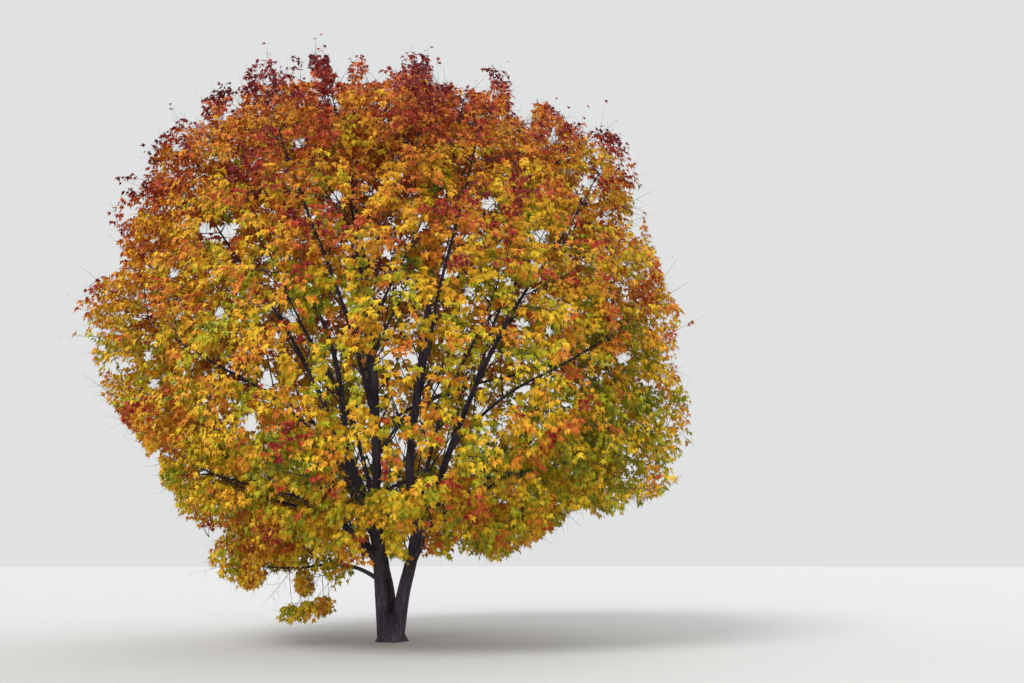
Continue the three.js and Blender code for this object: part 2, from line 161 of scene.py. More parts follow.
# Limb, mass it carries, limb it leaves, fraction along that limb, share of that limb's radius.
LEADERS = [("leader_left", "high_left", "stem_left", 0.31, 0.72),
           ("leader_right", "high_right", "stem_right", 0.25, 0.74),
           ("leader_back", "top_left_back", "stem_back", 0.2, 0.76)]
# Limb that boughs leave, and for each bough: mass it carries, fraction along the limb, share of its radius.
BOUGHS = {
    "stem_left": [("low_droop", 0.17, 0.4), ("low_left_front", 0.215, 0.5), ("low_front", 0.26, 0.46),
                  ("mid_front", 0.4, 0.55), ("high_left_front", 0.56, 0.64)],
    "leader_left": [("mid_left", 0.2, 0.64)],
    "stem_right": [("low_right_front", 0.2, 0.5), ("mid_right_front", 0.37, 0.56),
                   ("high_right_front", 0.55, 0.62)],
    "leader_right": [("low_right", 0.13, 0.62), ("mid_right", 0.34, 0.62), ("high_right_back", 0.5, 0.66)],
    "stem_back": [("low_left", 0.27, 0.5), ("low_left_back", 0.335, 0.5), ("mid_left_back", 0.53, 0.6),
                  ("mid_back_left", 0.61, 0.62)],
    "leader_back": [("low_back", 0.12, 0.55), ("low_back_right", 0.165, 0.55), ("low_right_back", 0.21, 0.55),
                    ("mid_back", 0.3, 0.58), ("mid_right_back", 0.37, 0.6), ("high_back", 0.54, 0.64),
                    ("top_right_back", 0.63, 0.7)],
}
LIMBS = LEADERS + [(f"bough_{mass}", mass, parent, at, share)
                   for parent, rows in BOUGHS.items() for mass, at, share in rows]
LIMB_TIP_RADIUS, LIMB_STEPS = 28, 4
LIMB_LEAVES_WITH, LIMB_PULL, LIMB_ENTERS = 0.5, 0.36, 0.62

# Mass: degrees round the crown, distance out, height, and how far it swells past the crown's outline.
MASSES = {
    "low_right": (-14, 3900, 3950, 1.06), "low_right_back": (28, 3700, 3700, 0.97),
    "low_back_right": (68, 3600, 3550, 0.95), "low_back": (108, 3600, 3650, 0.95),
    "low_left_back": (148, 3600, 3700, 0.94), "low_left": (188, 3650, 3800, 0.91),
    "low_left_front": (226, 3450, 3350, 0.94), "low_front": (266, 3350, 3200, 0.96),
    "low_right_front": (306, 3550, 3350, 0.97), "low_droop": (194, 2250, 1750, 1.4),
    "mid_right": (-17, 4350, 6150, 1.06), "mid_right_back": (28, 4300, 6400, 1.01),
    "mid_back": (73, 4300, 6300, 0.99), "mid_back_left": (118, 4300, 6400, 1.01),
    "mid_left_back": (163, 4300, 6250, 0.97), "mid_left": (203, 4350, 6150, 1.02),
    "mid_front": (253, 4300, 6250, 0.98), "mid_right_front": (298, 4300, 6250, 1),
    "high_right": (-12, 3900, 9100, 1.03), "high_right_back": (39, 3700, 9000, 1.01),
    "high_back": (91, 3700, 8950, 0.98), "high_left_back": (142, 3700, 9000, 0.98),
    "high_left": (194, 3850, 8900, 1.03), "high_left_front": (245, 3700, 8950, 1.02),
    "high_right_front": (297, 3700, 8950, 1), "top_right_front": (325, 1600, 10700, 1.03),
    "top_right_back": (55, 1600, 10750, 1.01), "top_left_back": (145, 1600, 10700, 0.99),
    "top_left_front": (228, 1700, 10600, 1.03),
}
MASS_REACH, DROOP_REACH, CELL_GAP = 2400, 1500, 15

AXIS_REACH, AXIS_PULL, AXIS_STEPS = 0.38, 0.45, 3
PAIR_AT, SHOOT_LEAN = (0.2, 0.44, 0.67, 0.9), (74, 66, 56, 46)
SHOOT_TURN_SPREAD, SHOOT_LEAN_SPREAD = 0.35, 9
SHOOT_LENGTH = (0.1, 0.55)
SIDE_AT, SIDE_LEAN, SIDE_LEAN_SPREAD, SIDE_ROLL_SPREAD, MOST_SHOOTS = (0.5, 0.8), 62, 12, 0.6, 15
SPRAY_LENGTH, SPRAY_LEAST, SPRAY_STEP, SPRAY_WIDTH, SPRAY_THICK = 1700, 650, 0.08, 0.98, 0.2
SPRAY_WIDEST, SPRAY_DROOP = 0.52, 0.1
TILT_OUTWARD, TILT_UP, TILT_CHANCE = 0.5, 0.5, 0.95
SAMPLES_ALONG = (0.2, 0.36, 0.52, 0.68, 0.84, 1)
SAMPLES_ACROSS = (-1, -0.5, 0, 0.5, 1)
TWIG_SAMPLES = np.array([0.15, 0.3, 0.45, 0.6, 0.75, 0.9, 1])
SHOOT_SAMPLES = np.array([0.5, 0.75, 1])
LIMB_CLEARANCE, SHOOT_CLEARANCE, SPRAY_CLEARANCE = 150, 70, 130
UP = np.array([0.0, 0, 1])
print(len(STEMS) + len(LIMBS), "limbs,", len(MASSES), "masses")

# %% [markdown]
# ## The limbs' middle lines
# A stem wanders through set points on a smooth spline. A leader or bough leaves its parent partly along it,
# then bends towards the mass it carries, as a Bezier curve does.

# %% Curves of the limbs


def spline(points):
    """Uniform Catmull-Rom spline through the points, from 0 to 1."""
    p = np.array(points, float)
    p = np.vstack([2 * p[0] - p[1], p, 2 * p[-1] - p[-2]])

    def at(t):
        place = (len(p) - 3) * t
        i = min(int(place), len(p) - 4)
        w = place - i
        a, b, c, d = p[i:i + 4]
        start, end = 0.5 * (c - a), 0.5 * (d - b)
        return b + w * (start + w * ((-3 * b + 3 * c - 2 * start - end) + w * (2 * b - 2 * c + start + end)))
    return at


def bezier(*points):
    def at(t):
        left = [np.asarray(q, float) for q in points]
        while len(left) > 1:
            left = [lerp(a, b, t) for a, b in zip(left, left[1:])]
        return left[0]
    return at


def tangent(curve, t, step=0.0001):
    return unit(curve(min(1, t + step)) - curve(max(0, t - step)))


def mass_reach(name):
    return DROOP_REACH if name == "low_droop" else MASS_REACH


def mass_centre(name):
    turn, out, height, _ = MASSES[name]
    a = math.radians(turn)
    return np.array([CROWN_CENTRE[0] + math.cos(a) * out, CROWN_CENTRE[1] + math.sin(a) * out, height])


def limb_record(mass, curve, base, tip, steps, start=0.0):
    shares = [lerp(start, 1, i / steps) for i in range(steps + 1)]
    return {"mass": mass, "curve": curve, "base": base, "tip": tip,
            "points": np.array([curve(t) for t in shares]),
            "radii": np.array([lerp(base, tip, t) for t in shares])}


limbs = {}
for name, (mass, base, tip, steps, through) in STEMS.items():
    limbs[name] = limb_record(mass, spline(through), base, tip, steps, STUB_END)
for name, mass, parent_name, at, share in LIMBS:
    parent = limbs[parent_name]
    first, centre = parent["curve"](at), mass_centre(mass)
    straight = unit(centre - first)
    last = centre - straight * LIMB_ENTERS * mass_reach(mass)
    pull = np.linalg.norm(last - first) * LIMB_PULL
    leaving = unit(tangent(parent["curve"], at) * LIMB_LEAVES_WITH + straight)
    arriving = unit(straight + unit(centre - CROWN_CENTRE) * LIMB_LEAVES_WITH)
    curve = bezier(first, first + leaving * pull, last - arriving * pull, last)
    base = lerp(parent["base"], parent["tip"], at) * share
    limbs[name] = limb_record(mass, curve, base, LIMB_TIP_RADIUS, LIMB_STEPS)
print("limbs:", len(limbs))

# %% [markdown]
# ## Room for the leaves
# Each mass owns the points that are nearer to its centre than to any other, within its reach and inside the
# crown's outline. Leaves also keep off the limbs, as they do where it is too dark for them to grow.

# %% Spaces of the masses
names = list(MASSES)
centres = np.array([mass_centre(n) for n in names])
reaches = np.array([mass_reach(n) for n in names])
swells = np.array([MASSES[n][3] for n in names])


def outline_share(points, swell):
    """How far out in the crown a point is: 0 in the middle, 1 on the outline."""
    off = (points - CROWN_CENTRE) / swell
    wide, tall = np.hypot(off[..., 0], off[..., 1]) / CROWN["radius"], off[..., 2]
    above = wide ** CROWN["power_above"] + (np.abs(tall) / CROWN["above"]) ** CROWN["power_above"]
    below = wide ** CROWN["power_below"] + (np.abs(tall) / CROWN["below"]) ** CROWN["power_below"]
    return np.where(tall > 0, above, below)


def inside_cell(k, points):
    points = np.atleast_2d(points)
    good = (points[:, 2] >= GROUND_CLEARANCE) & (np.linalg.norm(points - centres[k], axis=1) <= reaches[k])
    good &= outline_share(points, swells[k]) <= 1
    between = np.delete(centres, k, 0) - centres[k]
    middles = (np.delete(centres, k, 0) + centres[k]) / 2
    side = ((points[:, None, :] - middles) * between).sum(2) / np.linalg.norm(between, axis=1)
    return good & (side < -CELL_GAP).all(1)


segment_from = np.vstack([limb["points"][:-1] for limb in limbs.values()])
segment_to = np.vstack([limb["points"][1:] for limb in limbs.values()])
segment_radius = np.concatenate([limb["radii"][:-1] for limb in limbs.values()])


def limb_distance(points):
    """Distance from each point to the nearest limb's surface."""
    along = segment_to - segment_from
    off = points[:, None, :] - segment_from
    t = np.clip((off * along).sum(2) / (along ** 2).sum(1), 0, 1)
    return (np.linalg.norm(off - t[..., None] * along, axis=2) - segment_radius).min(1)


# %% [markdown]
# ## Growing a mass
# The limb runs on as the mass's axis. Shoots leave it in opposite pairs, each pair a quarter turn from the
# last, as on a maple, and each shoot ends in a spray. A spray gets as long as its room allows.

# %% The growth rule


def frame_of(axis):
    guide = np.array([1.0, 0, 0]) if abs(axis[2]) > 0.95 else UP
    side = unit(np.cross(axis, guide))
    return side, unit(np.cross(side, axis))


def spray_at(base, along, length, outward, seed):
    tilt = outward * TILT_OUTWARD + UP * TILT_UP + np.array([spread(seed, i, TILT_CHANCE) for i in (1, 2, 3)])
    face = unit(tilt - along * tilt.dot(along))
    side = unit(np.cross(face, along))

    def at(forward, across, out):
        return base + (along * forward + side * across + face * out) * length
    half = SPRAY_WIDTH / 2
    sag = -SPRAY_DROOP / 2
    corners = np.array([at(SPRAY_WIDEST, half, sag), at(SPRAY_WIDEST, 0, SPRAY_THICK / 2),
                        at(SPRAY_WIDEST, -half, sag), at(SPRAY_WIDEST, 0, -SPRAY_THICK / 2),
                        at(1, 0, -SPRAY_DROOP)])
    samples = []
    for forward in SAMPLES_ALONG:
        share = forward / SPRAY_WIDEST if forward < SPRAY_WIDEST else (1 - forward) / (1 - SPRAY_WIDEST)
        samples += [at(forward, across * half * share, -SPRAY_DROOP * forward * forward)
                    for across in SAMPLES_ACROSS]
    return {"base": base, "along": along, "side": side, "face": face, "length": length,
            "corners": corners, "samples": np.array(samples)}


def grow_mass(limb, seed):
    k = names.index(limb["mass"])
    centre, reach = centres[k], reaches[k]
    outward = unit(centre - CROWN_CENTRE)
    shoots, taken = [], []

    def fit(base, along, planned, spray_seed, skipped):
        others = np.vstack(taken) if taken else np.empty((0, 3))
        length = planned
        while length >= SPRAY_LEAST:
            made = spray_at(base, along, length, outward, spray_seed)
            outer = made["samples"][skipped * len(SAMPLES_ACROSS):]
            if (inside_cell(k, made["corners"]).all()
                    and (limb_distance(made["samples"]) > LIMB_CLEARANCE).all()
                    and (np.linalg.norm(outer[:, None] - others, axis=2) > SPRAY_CLEARANCE).all()):
                return made
            length -= SPRAY_STEP * planned
        return None

    def keep(points, spray, shoot_seed=None):
        shoots.append({"points": points, "spray": spray, "seed": seed if shoot_seed is None else shoot_seed})
        if len(points) == 2:
            taken.append(points[0] + (points[1] - points[0]) * TWIG_SAMPLES[:, None])
        if spray:
            taken.append(spray["samples"])

    tip, direction = limb["points"][-1], tangent(limb["curve"], 1)
    start = tip + direction * JOINT_GAP
    aim = unit(unit(centre - start) + outward)
    end = centre + aim * AXIS_REACH * reach
    axis = bezier(start, start + direction * np.linalg.norm(end - start) * AXIS_PULL, end)
    keep([axis(i / AXIS_STEPS) for i in range(AXIS_STEPS + 1)],
         fit(end, tangent(axis, 1), SPRAY_LENGTH, hash32(seed, 7), 0))
    taken.append(np.array([axis(f) for f in TWIG_SAMPLES]))

    for pair in reversed(range(len(PAIR_AT))):
        origin, forward = axis(PAIR_AT[pair]), tangent(axis, PAIR_AT[pair])
        side, up = frame_of(forward)
        for half in (0, 1):
            shoot_seed = hash32(seed, 20 + pair * 2 + half)
            turn = pair * math.pi / 2 + half * math.pi + math.pi / 4 + spread(shoot_seed, 1, SHOOT_TURN_SPREAD)
            lean = math.radians(SHOOT_LEAN[pair] + spread(shoot_seed, 2, SHOOT_LEAN_SPREAD))
            along = forward * math.cos(lean) + (side * math.cos(turn) + up * math.sin(turn)) * math.sin(lean)
            total = SHOOT_LENGTH[1] * reach + SPRAY_LENGTH
            while total > 0 and not inside_cell(k, origin + along * total)[0]:
                total -= SPRAY_STEP * reach
            length = max(total - SPRAY_LENGTH, SHOOT_LENGTH[0] * reach)
            ends = [origin, origin + along * length]
            middle = origin + along * length * SHOOT_SAMPLES[:, None]
            if (limb_distance(middle) <= SHOOT_CLEARANCE).any() or total - length < SPRAY_LEAST:
                continue
            spray = fit(ends[1], along, min(total - length, SPRAY_LENGTH), hash32(shoot_seed, 30), 0)
            if spray:
                keep(ends, spray, shoot_seed)

    for shoot in list(shoots):
        first, last = shoot["points"][0], shoot["points"][-1]
        direction = unit(last - first)
        across, over = frame_of(direction)
        for hand in (-1, 1):
            spray_seed = hash32(shoot["seed"], 41 + hand)
            lean = math.radians(SIDE_LEAN + spread(spray_seed, 5, SIDE_LEAN_SPREAD))
            roll = spread(spray_seed, 6, SIDE_ROLL_SPREAD)
            off = across * math.cos(roll) * hand + over * math.sin(roll)
            sideways = direction * math.cos(lean) + off * math.sin(lean)
            at = lerp(*SIDE_AT, chance(spray_seed, 7))
            base = axis(at) if len(shoot["points"]) > 2 else lerp(first, last, at)
            spray = fit(base, sideways, SPRAY_LENGTH, spray_seed, 1)
            if spray and len(shoots) < MOST_SHOOTS:
                keep([base], spray)
    return {"axis": axis, "outward": outward, "shoots": shoots, "cell": k, "mass": limb["mass"], "limb": limb}


masses = [grow_mass(limb, number + 11) for number, limb in enumerate(limbs.values())]
sprays = [s["spray"] for m in masses for s in m["shoots"] if s["spray"]]
print("sprays:", len(sprays), "mean length", round(float(np.mean([s["length"] for s in sprays]))))

# %% [markdown]
# ## Twigs as tapering tubes
# Thousands of twigs could be curve objects with a bevel, but joined arrays of three-sided tubes are lighter and
# give one mesh. Each tube has a ring at every point of its path but the last, where it runs out to a point.

# %% Arrays of tubes
TWIG_SIDES = 3
# The few twigs and leaves that reach past this room are left out, so the crown keeps to the solids' size.
ROOM_LOW, ROOM_HIGH = np.array([-6400.0, -6290, -1]), np.array([6300.0, 6250, 12440])


class Batch:
    """Corners and triangles of many small things, gathered for one mesh."""

    def __init__(self):
        self.corners, self.triangles, self.dealt, self.cracks, self.count = [], [], [], [], 0

    def add(self, corners, triangles, dealt=None):
        """corners (n, c, 3) of n alike things, and their triangles (t, 3), counted within one thing."""
        fits = ((corners > ROOM_LOW) & (corners < ROOM_HIGH)).all((1, 2))
        corners, dealt = corners[fits], None if dealt is None else dealt[fits]
        n, c = corners.shape[:2]
        self.corners.append(corners.reshape(-1, 3))
        self.triangles.append((triangles[None] + (self.count + np.arange(n) * c)[:, None, None]).reshape(-1, 3))
        if dealt is not None:
            self.dealt.append(np.repeat(dealt, len(triangles)))
        self.count += n * c

    def mesh(self, name, materials, smooth=False):
        dealt = np.concatenate(self.dealt) if self.dealt else None
        return mesh_from(name, np.vstack(self.corners), np.vstack(self.triangles), materials, dealt, smooth)


def tubes(batch, paths, radii, sides=TWIG_SIDES):
    """Adds n tubes: paths (n, k, 3), radii (n, k - 1). The last point of a path is the tube's tip."""
    n, k = paths.shape[:2]
    ahead = unit(np.gradient(paths, axis=1))
    overall = np.abs(unit(paths[:, -1] - paths[:, 0]))
    guide = np.eye(3)[overall.argmin(1)][:, None, :]
    side = unit(np.cross(ahead, guide))
    up = np.cross(ahead, side)
    a = np.arange(sides) / sides * 2 * math.pi
    ring = side[:, :-1, None] * np.cos(a)[:, None] - up[:, :-1, None] * np.sin(a)[:, None]
    rings = (paths[:, :-1, None] + ring * radii[:, :, None, None]).reshape(n, (k - 1) * sides, 3)
    corners = np.concatenate([rings, paths[:, -1:]], 1)
    assert np.isfinite(corners).all(), "a tube's path doubles back"
    triangles = []
    tip = (k - 1) * sides
    for j in range(sides):
        m = (j + 1) % sides
        for i in range(0, (k - 2) * sides, sides):
            triangles += [(i + j, i + sides + m, i + m), (i + j, i + sides + j, i + sides + m)]
        triangles.append((tip - sides + j, tip, tip - sides + m))
    triangles += [(0, j, j + 1) for j in range(1, sides - 1)]
    batch.add(corners, np.array(triangles))


# %% [markdown]
# ## Sprays of twigs
# On a maple, side twigs leave the main twig in opposite pairs, each pair a quarter turn from the last. In a
# leafy spray the pairs that lie across it grow long, towards the light, and the pairs that stand off it stay
# short, so the spray is a shallow fan. Every twig sags a little towards its end under its leaves.

# %% Twigs of a spray
TWIG_SPACING = 112
TWIG_FROM, TWIG_TO = 0.1, 0.95
TWIG_ANGLE = (44, 64)
TWIG_REACH = 0.74
TWIG_LEAST = 95
STANDING_SHARE = 0.5
ROLL_ALTERNATES = 0.42 * math.pi
ROLL_SPREAD = 0.3
TWIG_SAG = (0.04, 0.3)
SPRAY_TWIG_RADIUS = 9.5
SIDE_TWIG_RADIUS = 3.6
SPRAY_POINTS, LEAST_TWIG_PAIRS, PLACE_SPREAD = 7, 4, 0.02
# The fan's outline: how long its first twigs are, how soon the longest come, and how much lengths differ.
FAN_FIRST, FAN_OPENS, FAN_SPREAD = 0.45, 2.4, (0.75, 1.12)


def spray_twigs(spray):
    """Main twig's path, and the start, direction, length and sag of each of its side twigs."""
    length, along = spray["length"], spray["along"]

    def main_twig(share):
        return spray["base"] + along * length * share - spray["face"] * SPRAY_DROOP * length * share ** 2
    count = max(LEAST_TWIG_PAIRS, round(length / TWIG_SPACING))
    twigs = count * 2
    place = np.repeat(np.linspace(TWIG_FROM, TWIG_TO, count), 2)
    place += rng.uniform(-PLACE_SPREAD, PLACE_SPREAD, twigs)
    roll = np.tile([0.0, math.pi], count) + np.repeat(np.arange(count) % 2, 2) * ROLL_ALTERNATES
    roll += rng.uniform(-ROLL_SPREAD, ROLL_SPREAD, twigs)
    lean = np.radians(rng.uniform(*TWIG_ANGLE, twigs))
    across = spray["side"] * np.cos(roll)[:, None] + spray["face"] * np.sin(roll)[:, None]
    direction = along * np.cos(lean)[:, None] + across * np.sin(lean)[:, None]
    shape = np.hypot(np.cos(roll), STANDING_SHARE * np.sin(roll)) * TWIG_REACH * (1 - place)
    shape = shape * np.minimum(1, FAN_FIRST + FAN_OPENS * place)
    reach = np.maximum(TWIG_LEAST, shape * length * rng.uniform(*FAN_SPREAD, twigs))
    path = main_twig(np.linspace(0, 1, SPRAY_POINTS)[:, None])
    return path, main_twig(place[:, None]), direction, reach, rng.uniform(*TWIG_SAG, twigs)


def twig_path(start, direction, reach, sag, points):
    share = np.linspace(0, 1, points)[:, None]
    straight = start[:, None] + direction[:, None] * reach[:, None, None] * share
    return straight - UP * (sag * reach)[:, None, None] * share ** 2


# %% [markdown]
# ## Leaves
# A maple leaf has five pointed lobes and hangs from a long stalk. Here it is an outline of ten points round its
# midrib and eight triangles, folded along the rib and curled at the lobes, with one more thin triangle for the
# stalk. Leaves stand in opposite pairs along the outer part of a twig, with one at its end.

# %% Leaf outline and where leaves stand
LEAF_WIDTH = (68, 122)
# Right half of the outline, across and forward, as shares of the width: basal lobe, notch, side lobe, notch.
LEAF_HALF = [(0.37, -0.06), (0.23, 0.19), (0.53, 0.46), (0.15, 0.48)]
# Younger leaves have three lobes, and a base that runs out to a short stalk.
YOUNG_HALF = [(0.47, 0.3), (0.17, 0.42)]
YOUNG_SHARE = 0.8
LEAF_LENGTH, SHORT_STALK = 0.98, 0.2


def leaf_shape(stalked):
    """Outline of a leaf, and its triangles: a fan from the base, and one more for a long stalk."""
    half = LEAF_HALF if stalked else YOUNG_HALF
    foot, tip = (0, 0 if stalked else -SHORT_STALK), (0, LEAF_LENGTH)
    outline = np.array([foot, *half, tip, *[(-x, y) for x, y in reversed(half)]])
    last = len(outline)
    fan = [(0, k, k + 1) for k in range(1, last - 1)]
    return outline, np.array(fan + [(0, last, last + 1)] if stalked else fan)


LEAF_FOLD, LEAF_CURL = (0.05, 0.5), (0.0, 0.35)
LEAF_DROOP = (0.4, 1.7)
STALK_LENGTH, STALK_HALF_WIDTH = (45, 100), 2.2
LEAF_SPACING, MOST_PAIRS = 49, 12
LEAVES_FROM, LEAVES_TO, LONE_PAIR_AT, LEAF_PLACE_SPREAD = 0.26, 0.97, 0.7, 0.03
# How stalks leave a twig: turn of a pair, and shares of ahead, sideways and up.
PAIR_TURN, STALK_AHEAD, STALK_SIDEWAYS, STALK_UP, STALK_SPREAD = 0.8, (0.4, 0.9), 0.9, 0.15, 0.15
# How a blade hangs: its rib's shares along the stalk and outward, and its face's shares up and outward.
RIB_STALK, RIB_OUT, RIB_SPREAD, FACE_UP, FACE_OUT, FACE_SPREAD = 0.75, 0.3, 0.12, 0.55, 0.65, 0.36
UPRIGHT = 0.2


def leaf_places(start, direction, reach, sag):
    """Root, twig direction, hand (-1, 0 at the end, 1) and twig number of every leaf on these twigs."""
    roots, ahead, hands, twig = [], [], [], []
    pairs = np.clip(np.round(reach * (1 - LEAVES_FROM) / LEAF_SPACING), 1, MOST_PAIRS).astype(int)
    for count in np.unique(pairs):
        chosen = np.flatnonzero(pairs == count)
        place = np.linspace(LEAVES_FROM, LEAVES_TO, count) if count > 1 else np.array([LONE_PAIR_AT])
        for share, hand in [*((p, h) for p in place for h in (-1, 1)), (1.0, 0)]:
            s = share + (rng.uniform(-LEAF_PLACE_SPREAD, LEAF_PLACE_SPREAD, len(chosen)) if hand else 0)
            s = np.broadcast_to(s, len(chosen))[:, None]
            r, g = reach[chosen][:, None], sag[chosen][:, None]
            roots.append(start[chosen] + direction[chosen] * r * s - UP * g * r * s ** 2)
            ahead.append(unit(direction[chosen] - UP * 2 * g * s))
            hands.append(np.full(len(chosen), hand))
            twig.append(chosen)
    return np.vstack(roots), np.vstack(ahead), np.concatenate(hands), np.concatenate(twig)


def leaf_corners(stalked, root, ahead, hand, outward, width):
    """Corners of leaves: those of the outline, then two where a long stalk leaves the twig."""
    n = len(root)
    level = np.cross(ahead, UP)
    upright = np.linalg.norm(level, axis=1, keepdims=True) < UPRIGHT
    level = unit(np.where(upright, np.cross(ahead, [1.0, 0, 0]), level))
    lift = np.cross(level, ahead)
    turn = rng.uniform(-PAIR_TURN, PAIR_TURN, n)[:, None]
    sideways = (level * np.cos(turn) + lift * np.sin(turn)) * hand[:, None]
    forward = ahead * rng.uniform(*STALK_AHEAD, n)[:, None]
    stalk = unit(forward + sideways * STALK_SIDEWAYS + UP * STALK_UP + rng.normal(0, STALK_SPREAD, (n, 3)))
    reach = rng.uniform(*STALK_LENGTH, n) / LEAF_WIDTH[1] if stalked else SHORT_STALK
    base = root + stalk * (reach * width)[:, None]
    droop = rng.uniform(*LEAF_DROOP, n)[:, None]
    rib = unit(stalk * RIB_STALK + outward * RIB_OUT - UP * droop + rng.normal(0, RIB_SPREAD, (n, 3)))
    face = UP * FACE_UP + outward * FACE_OUT + rng.normal(0, FACE_SPREAD, (n, 3))
    face = unit(face - rib * (face * rib).sum(1, keepdims=True))
    side = np.cross(rib, face)
    x, y = leaf_shape(stalked)[0].T
    z = rng.uniform(*LEAF_FOLD, n)[:, None] * np.abs(x)
    z -= rng.uniform(*LEAF_CURL, n)[:, None] * (x ** 2 + y ** 2)
    blade = side[:, None] * x[:, None] + rib[:, None] * y[:, None] + face[:, None] * z[..., None]
    outline = base[:, None] + blade * width[:, None, None]
    if not stalked:
        return outline
    foot = root[:, None] + side[:, None] * np.array([-STALK_HALF_WIDTH, STALK_HALF_WIDTH])[:, None]
    return np.concatenate([outline, foot], 1)


# %% [markdown]
# ## Bare branches
# Between the limbs and the leafy shell run many thin branches, bare below and only seen through the gaps. They
# leave the limbs to all sides, curve up and out, and later sprays start from them.

# %% Plan the branches
BRANCH_AT, BRANCH_SPACING = (0.22, 0.95), 480
BRANCH_LENGTH, BRANCH_RADIUS, BRANCH_TIP = (900, 2300), 19, 5
BRANCH_POINTS, BRANCH_SIDES, BRANCH_RIM, BRANCH_SWAY, BRANCH_RISE = 7, 5, 0.8, 0.08, 0.22
# A branch's first direction: shares along the limb, off it, away from the crown's upright axis, and up.
BRANCH_ALONG, BRANCH_OFF, BRANCH_OUT, BRANCH_UP = 0.5, 0.8, 0.35, 0.25
BRANCH_LEAST, BRANCH_OF_LIMB = 3, 0.5


def branches_of(limb):
    """Paths of a limb's side branches, and how thick each starts."""
    made = []
    count = int(np.linalg.norm(limb["curve"](BRANCH_AT[1]) - limb["curve"](BRANCH_AT[0])) / BRANCH_SPACING)
    for t in lerp(*BRANCH_AT, (np.arange(count) + rng.uniform(0, 1, count)) / max(count, 1)):
        foot, ahead = limb["curve"](t), tangent(limb["curve"], t)
        off = unit(np.cross(ahead, rng.normal(0, 1, 3)))
        out = unit(foot - CROWN_CENTRE * (1, 1, 0))
        direction = unit(ahead * BRANCH_ALONG + off * BRANCH_OFF + out * BRANCH_OUT + UP * BRANCH_UP)
        length = rng.uniform(*BRANCH_LENGTH)
        share = np.linspace(0, 1, BRANCH_POINTS)[:, None]
        sway = unit(rng.normal(0, 1, 3)) * BRANCH_SWAY * length
        path = foot + direction * length * share + UP * BRANCH_RISE * length * share ** 2
        path = path + sway * np.sin(share * math.pi)
        path = path[outline_share(path, 1.0) < BRANCH_RIM]
        if len(path) > BRANCH_LEAST:
            made.append((path, min(BRANCH_RADIUS, BRANCH_OF_LIMB * lerp(limb["base"], limb["tip"], t))))
    return made


for mass in masses:
    mass["branches"] = branches_of(mass["limb"])
print("branches:", sum(len(m["branches"]) for m in masses))

# %% [markdown]
# ## Smooth noise in space
# Clumps, hollows and tints all need numbers that change smoothly from place to place. A texture could give
# them, but the leaves are made as arrays, so a small table of seeded values is read between its points.

# %% Noise for clumps and tints
FIELD_CELLS, FIELD_SEED = 32, 5
noise_table = np.random.default_rng(FIELD_SEED).uniform(0, 1, (FIELD_CELLS,) * 3)


def field(points, size, shift):
    """Smooth noise in space, mostly between 0.2 and 0.8."""
    p = points / size + shift
    whole = np.floor(p).astype(int)
    f = p - whole
    f = f * f * (3 - 2 * f)
    total = np.zeros(len(points))
    for corner in np.ndindex(2, 2, 2):
        weight = np.prod(np.where(corner, f, 1 - f), axis=1)
        total += weight * noise_table[tuple(((whole + corner) % FIELD_CELLS).T)]
    return total


print("noise at the masses' centres:", np.round(field(centres, 1000, 0)[:6], 2))

# %% [markdown]
# ## What shows from the front
# The crown's outline, the gaps that show sky and the limbs that show are features of this tree, so they are
# measured and kept. Each is given on the upright plane through the tree's middle, and a leaf belongs to the
# spot where the line of sight to it crosses that plane. So a gap stays open through the whole depth of the
# crown.

# %% Outline, gaps and limbs that show
SEEN_FROM = np.array([2410.0, -21000, 1600])
# How far the crown reaches on the tree's middle plane, as seen from SEEN_FROM, for every 10 degrees from the
# right.
SEEN_REACH = [6450, 5800, 5750, 6150, 6400, 5800, 5950, 6150, 6100, 6100, 6100, 6450,
              6850, 6650, 6650, 7050, 6900, 6300, 6950, 6700, 6150, 5850, 5950, 6100,
              6200, 5650, 5350, 5300, 5350, 5600, 5600, 5650, 6450, 7000, 6700, 6000]
# Tufts along that outline: how much taller than wide, and depth of the notches at the sides and on top.
EDGES, EDGE_LEVEL, EDGE_STRETCH = (300, 8.8), (0.47, 0.34), 0.45
EDGE_NOTCH, NOTCH_TURN, EDGE_PAST = (260, 700), 0.8, 60
# The hanging mass on the left is a few thin sprays: places across and up on the middle plane, and half width.
HANGING = [(-3350, 1700, 450), (-2960, 1400, 330), (-2400, 1750, 350), (-1830, 1450, 230), (-1830, 1130, 190),
           (-2080, 500, 230), (-1750, 570, 230), (-1450, 720, 200), (-1040, 1130, 240), (-1150, 1550, 350),
           (-2900, 2150, 650), (-2000, 2200, 650), (-1500, 1950, 500)]
# Gaps that show sky: across and up, and half width. Then how ragged their rims are.
SKY_GAPS = [
    (1880, 9380, 200), (440, 8860, 155), (4070, 9870, 155), (3030, 8630, 175), (-1470, 9560, 180),
    (-4390, 8810, 175), (-3810, 8740, 200), (-2360, 10850, 160), (-5020, 7780, 155), (-3930, 6870, 150),
    (-2370, 6830, 175), (-5230, 5310, 130), (-2810, 5350, 195), (-3130, 4470, 190), (-5400, 5920, 130),
    (1470, 7370, 155), (2610, 6690, 150), (4800, 5880, 170), (3210, 6450, 130),
]
GAP_RAGGED = (0.75, 0.5)
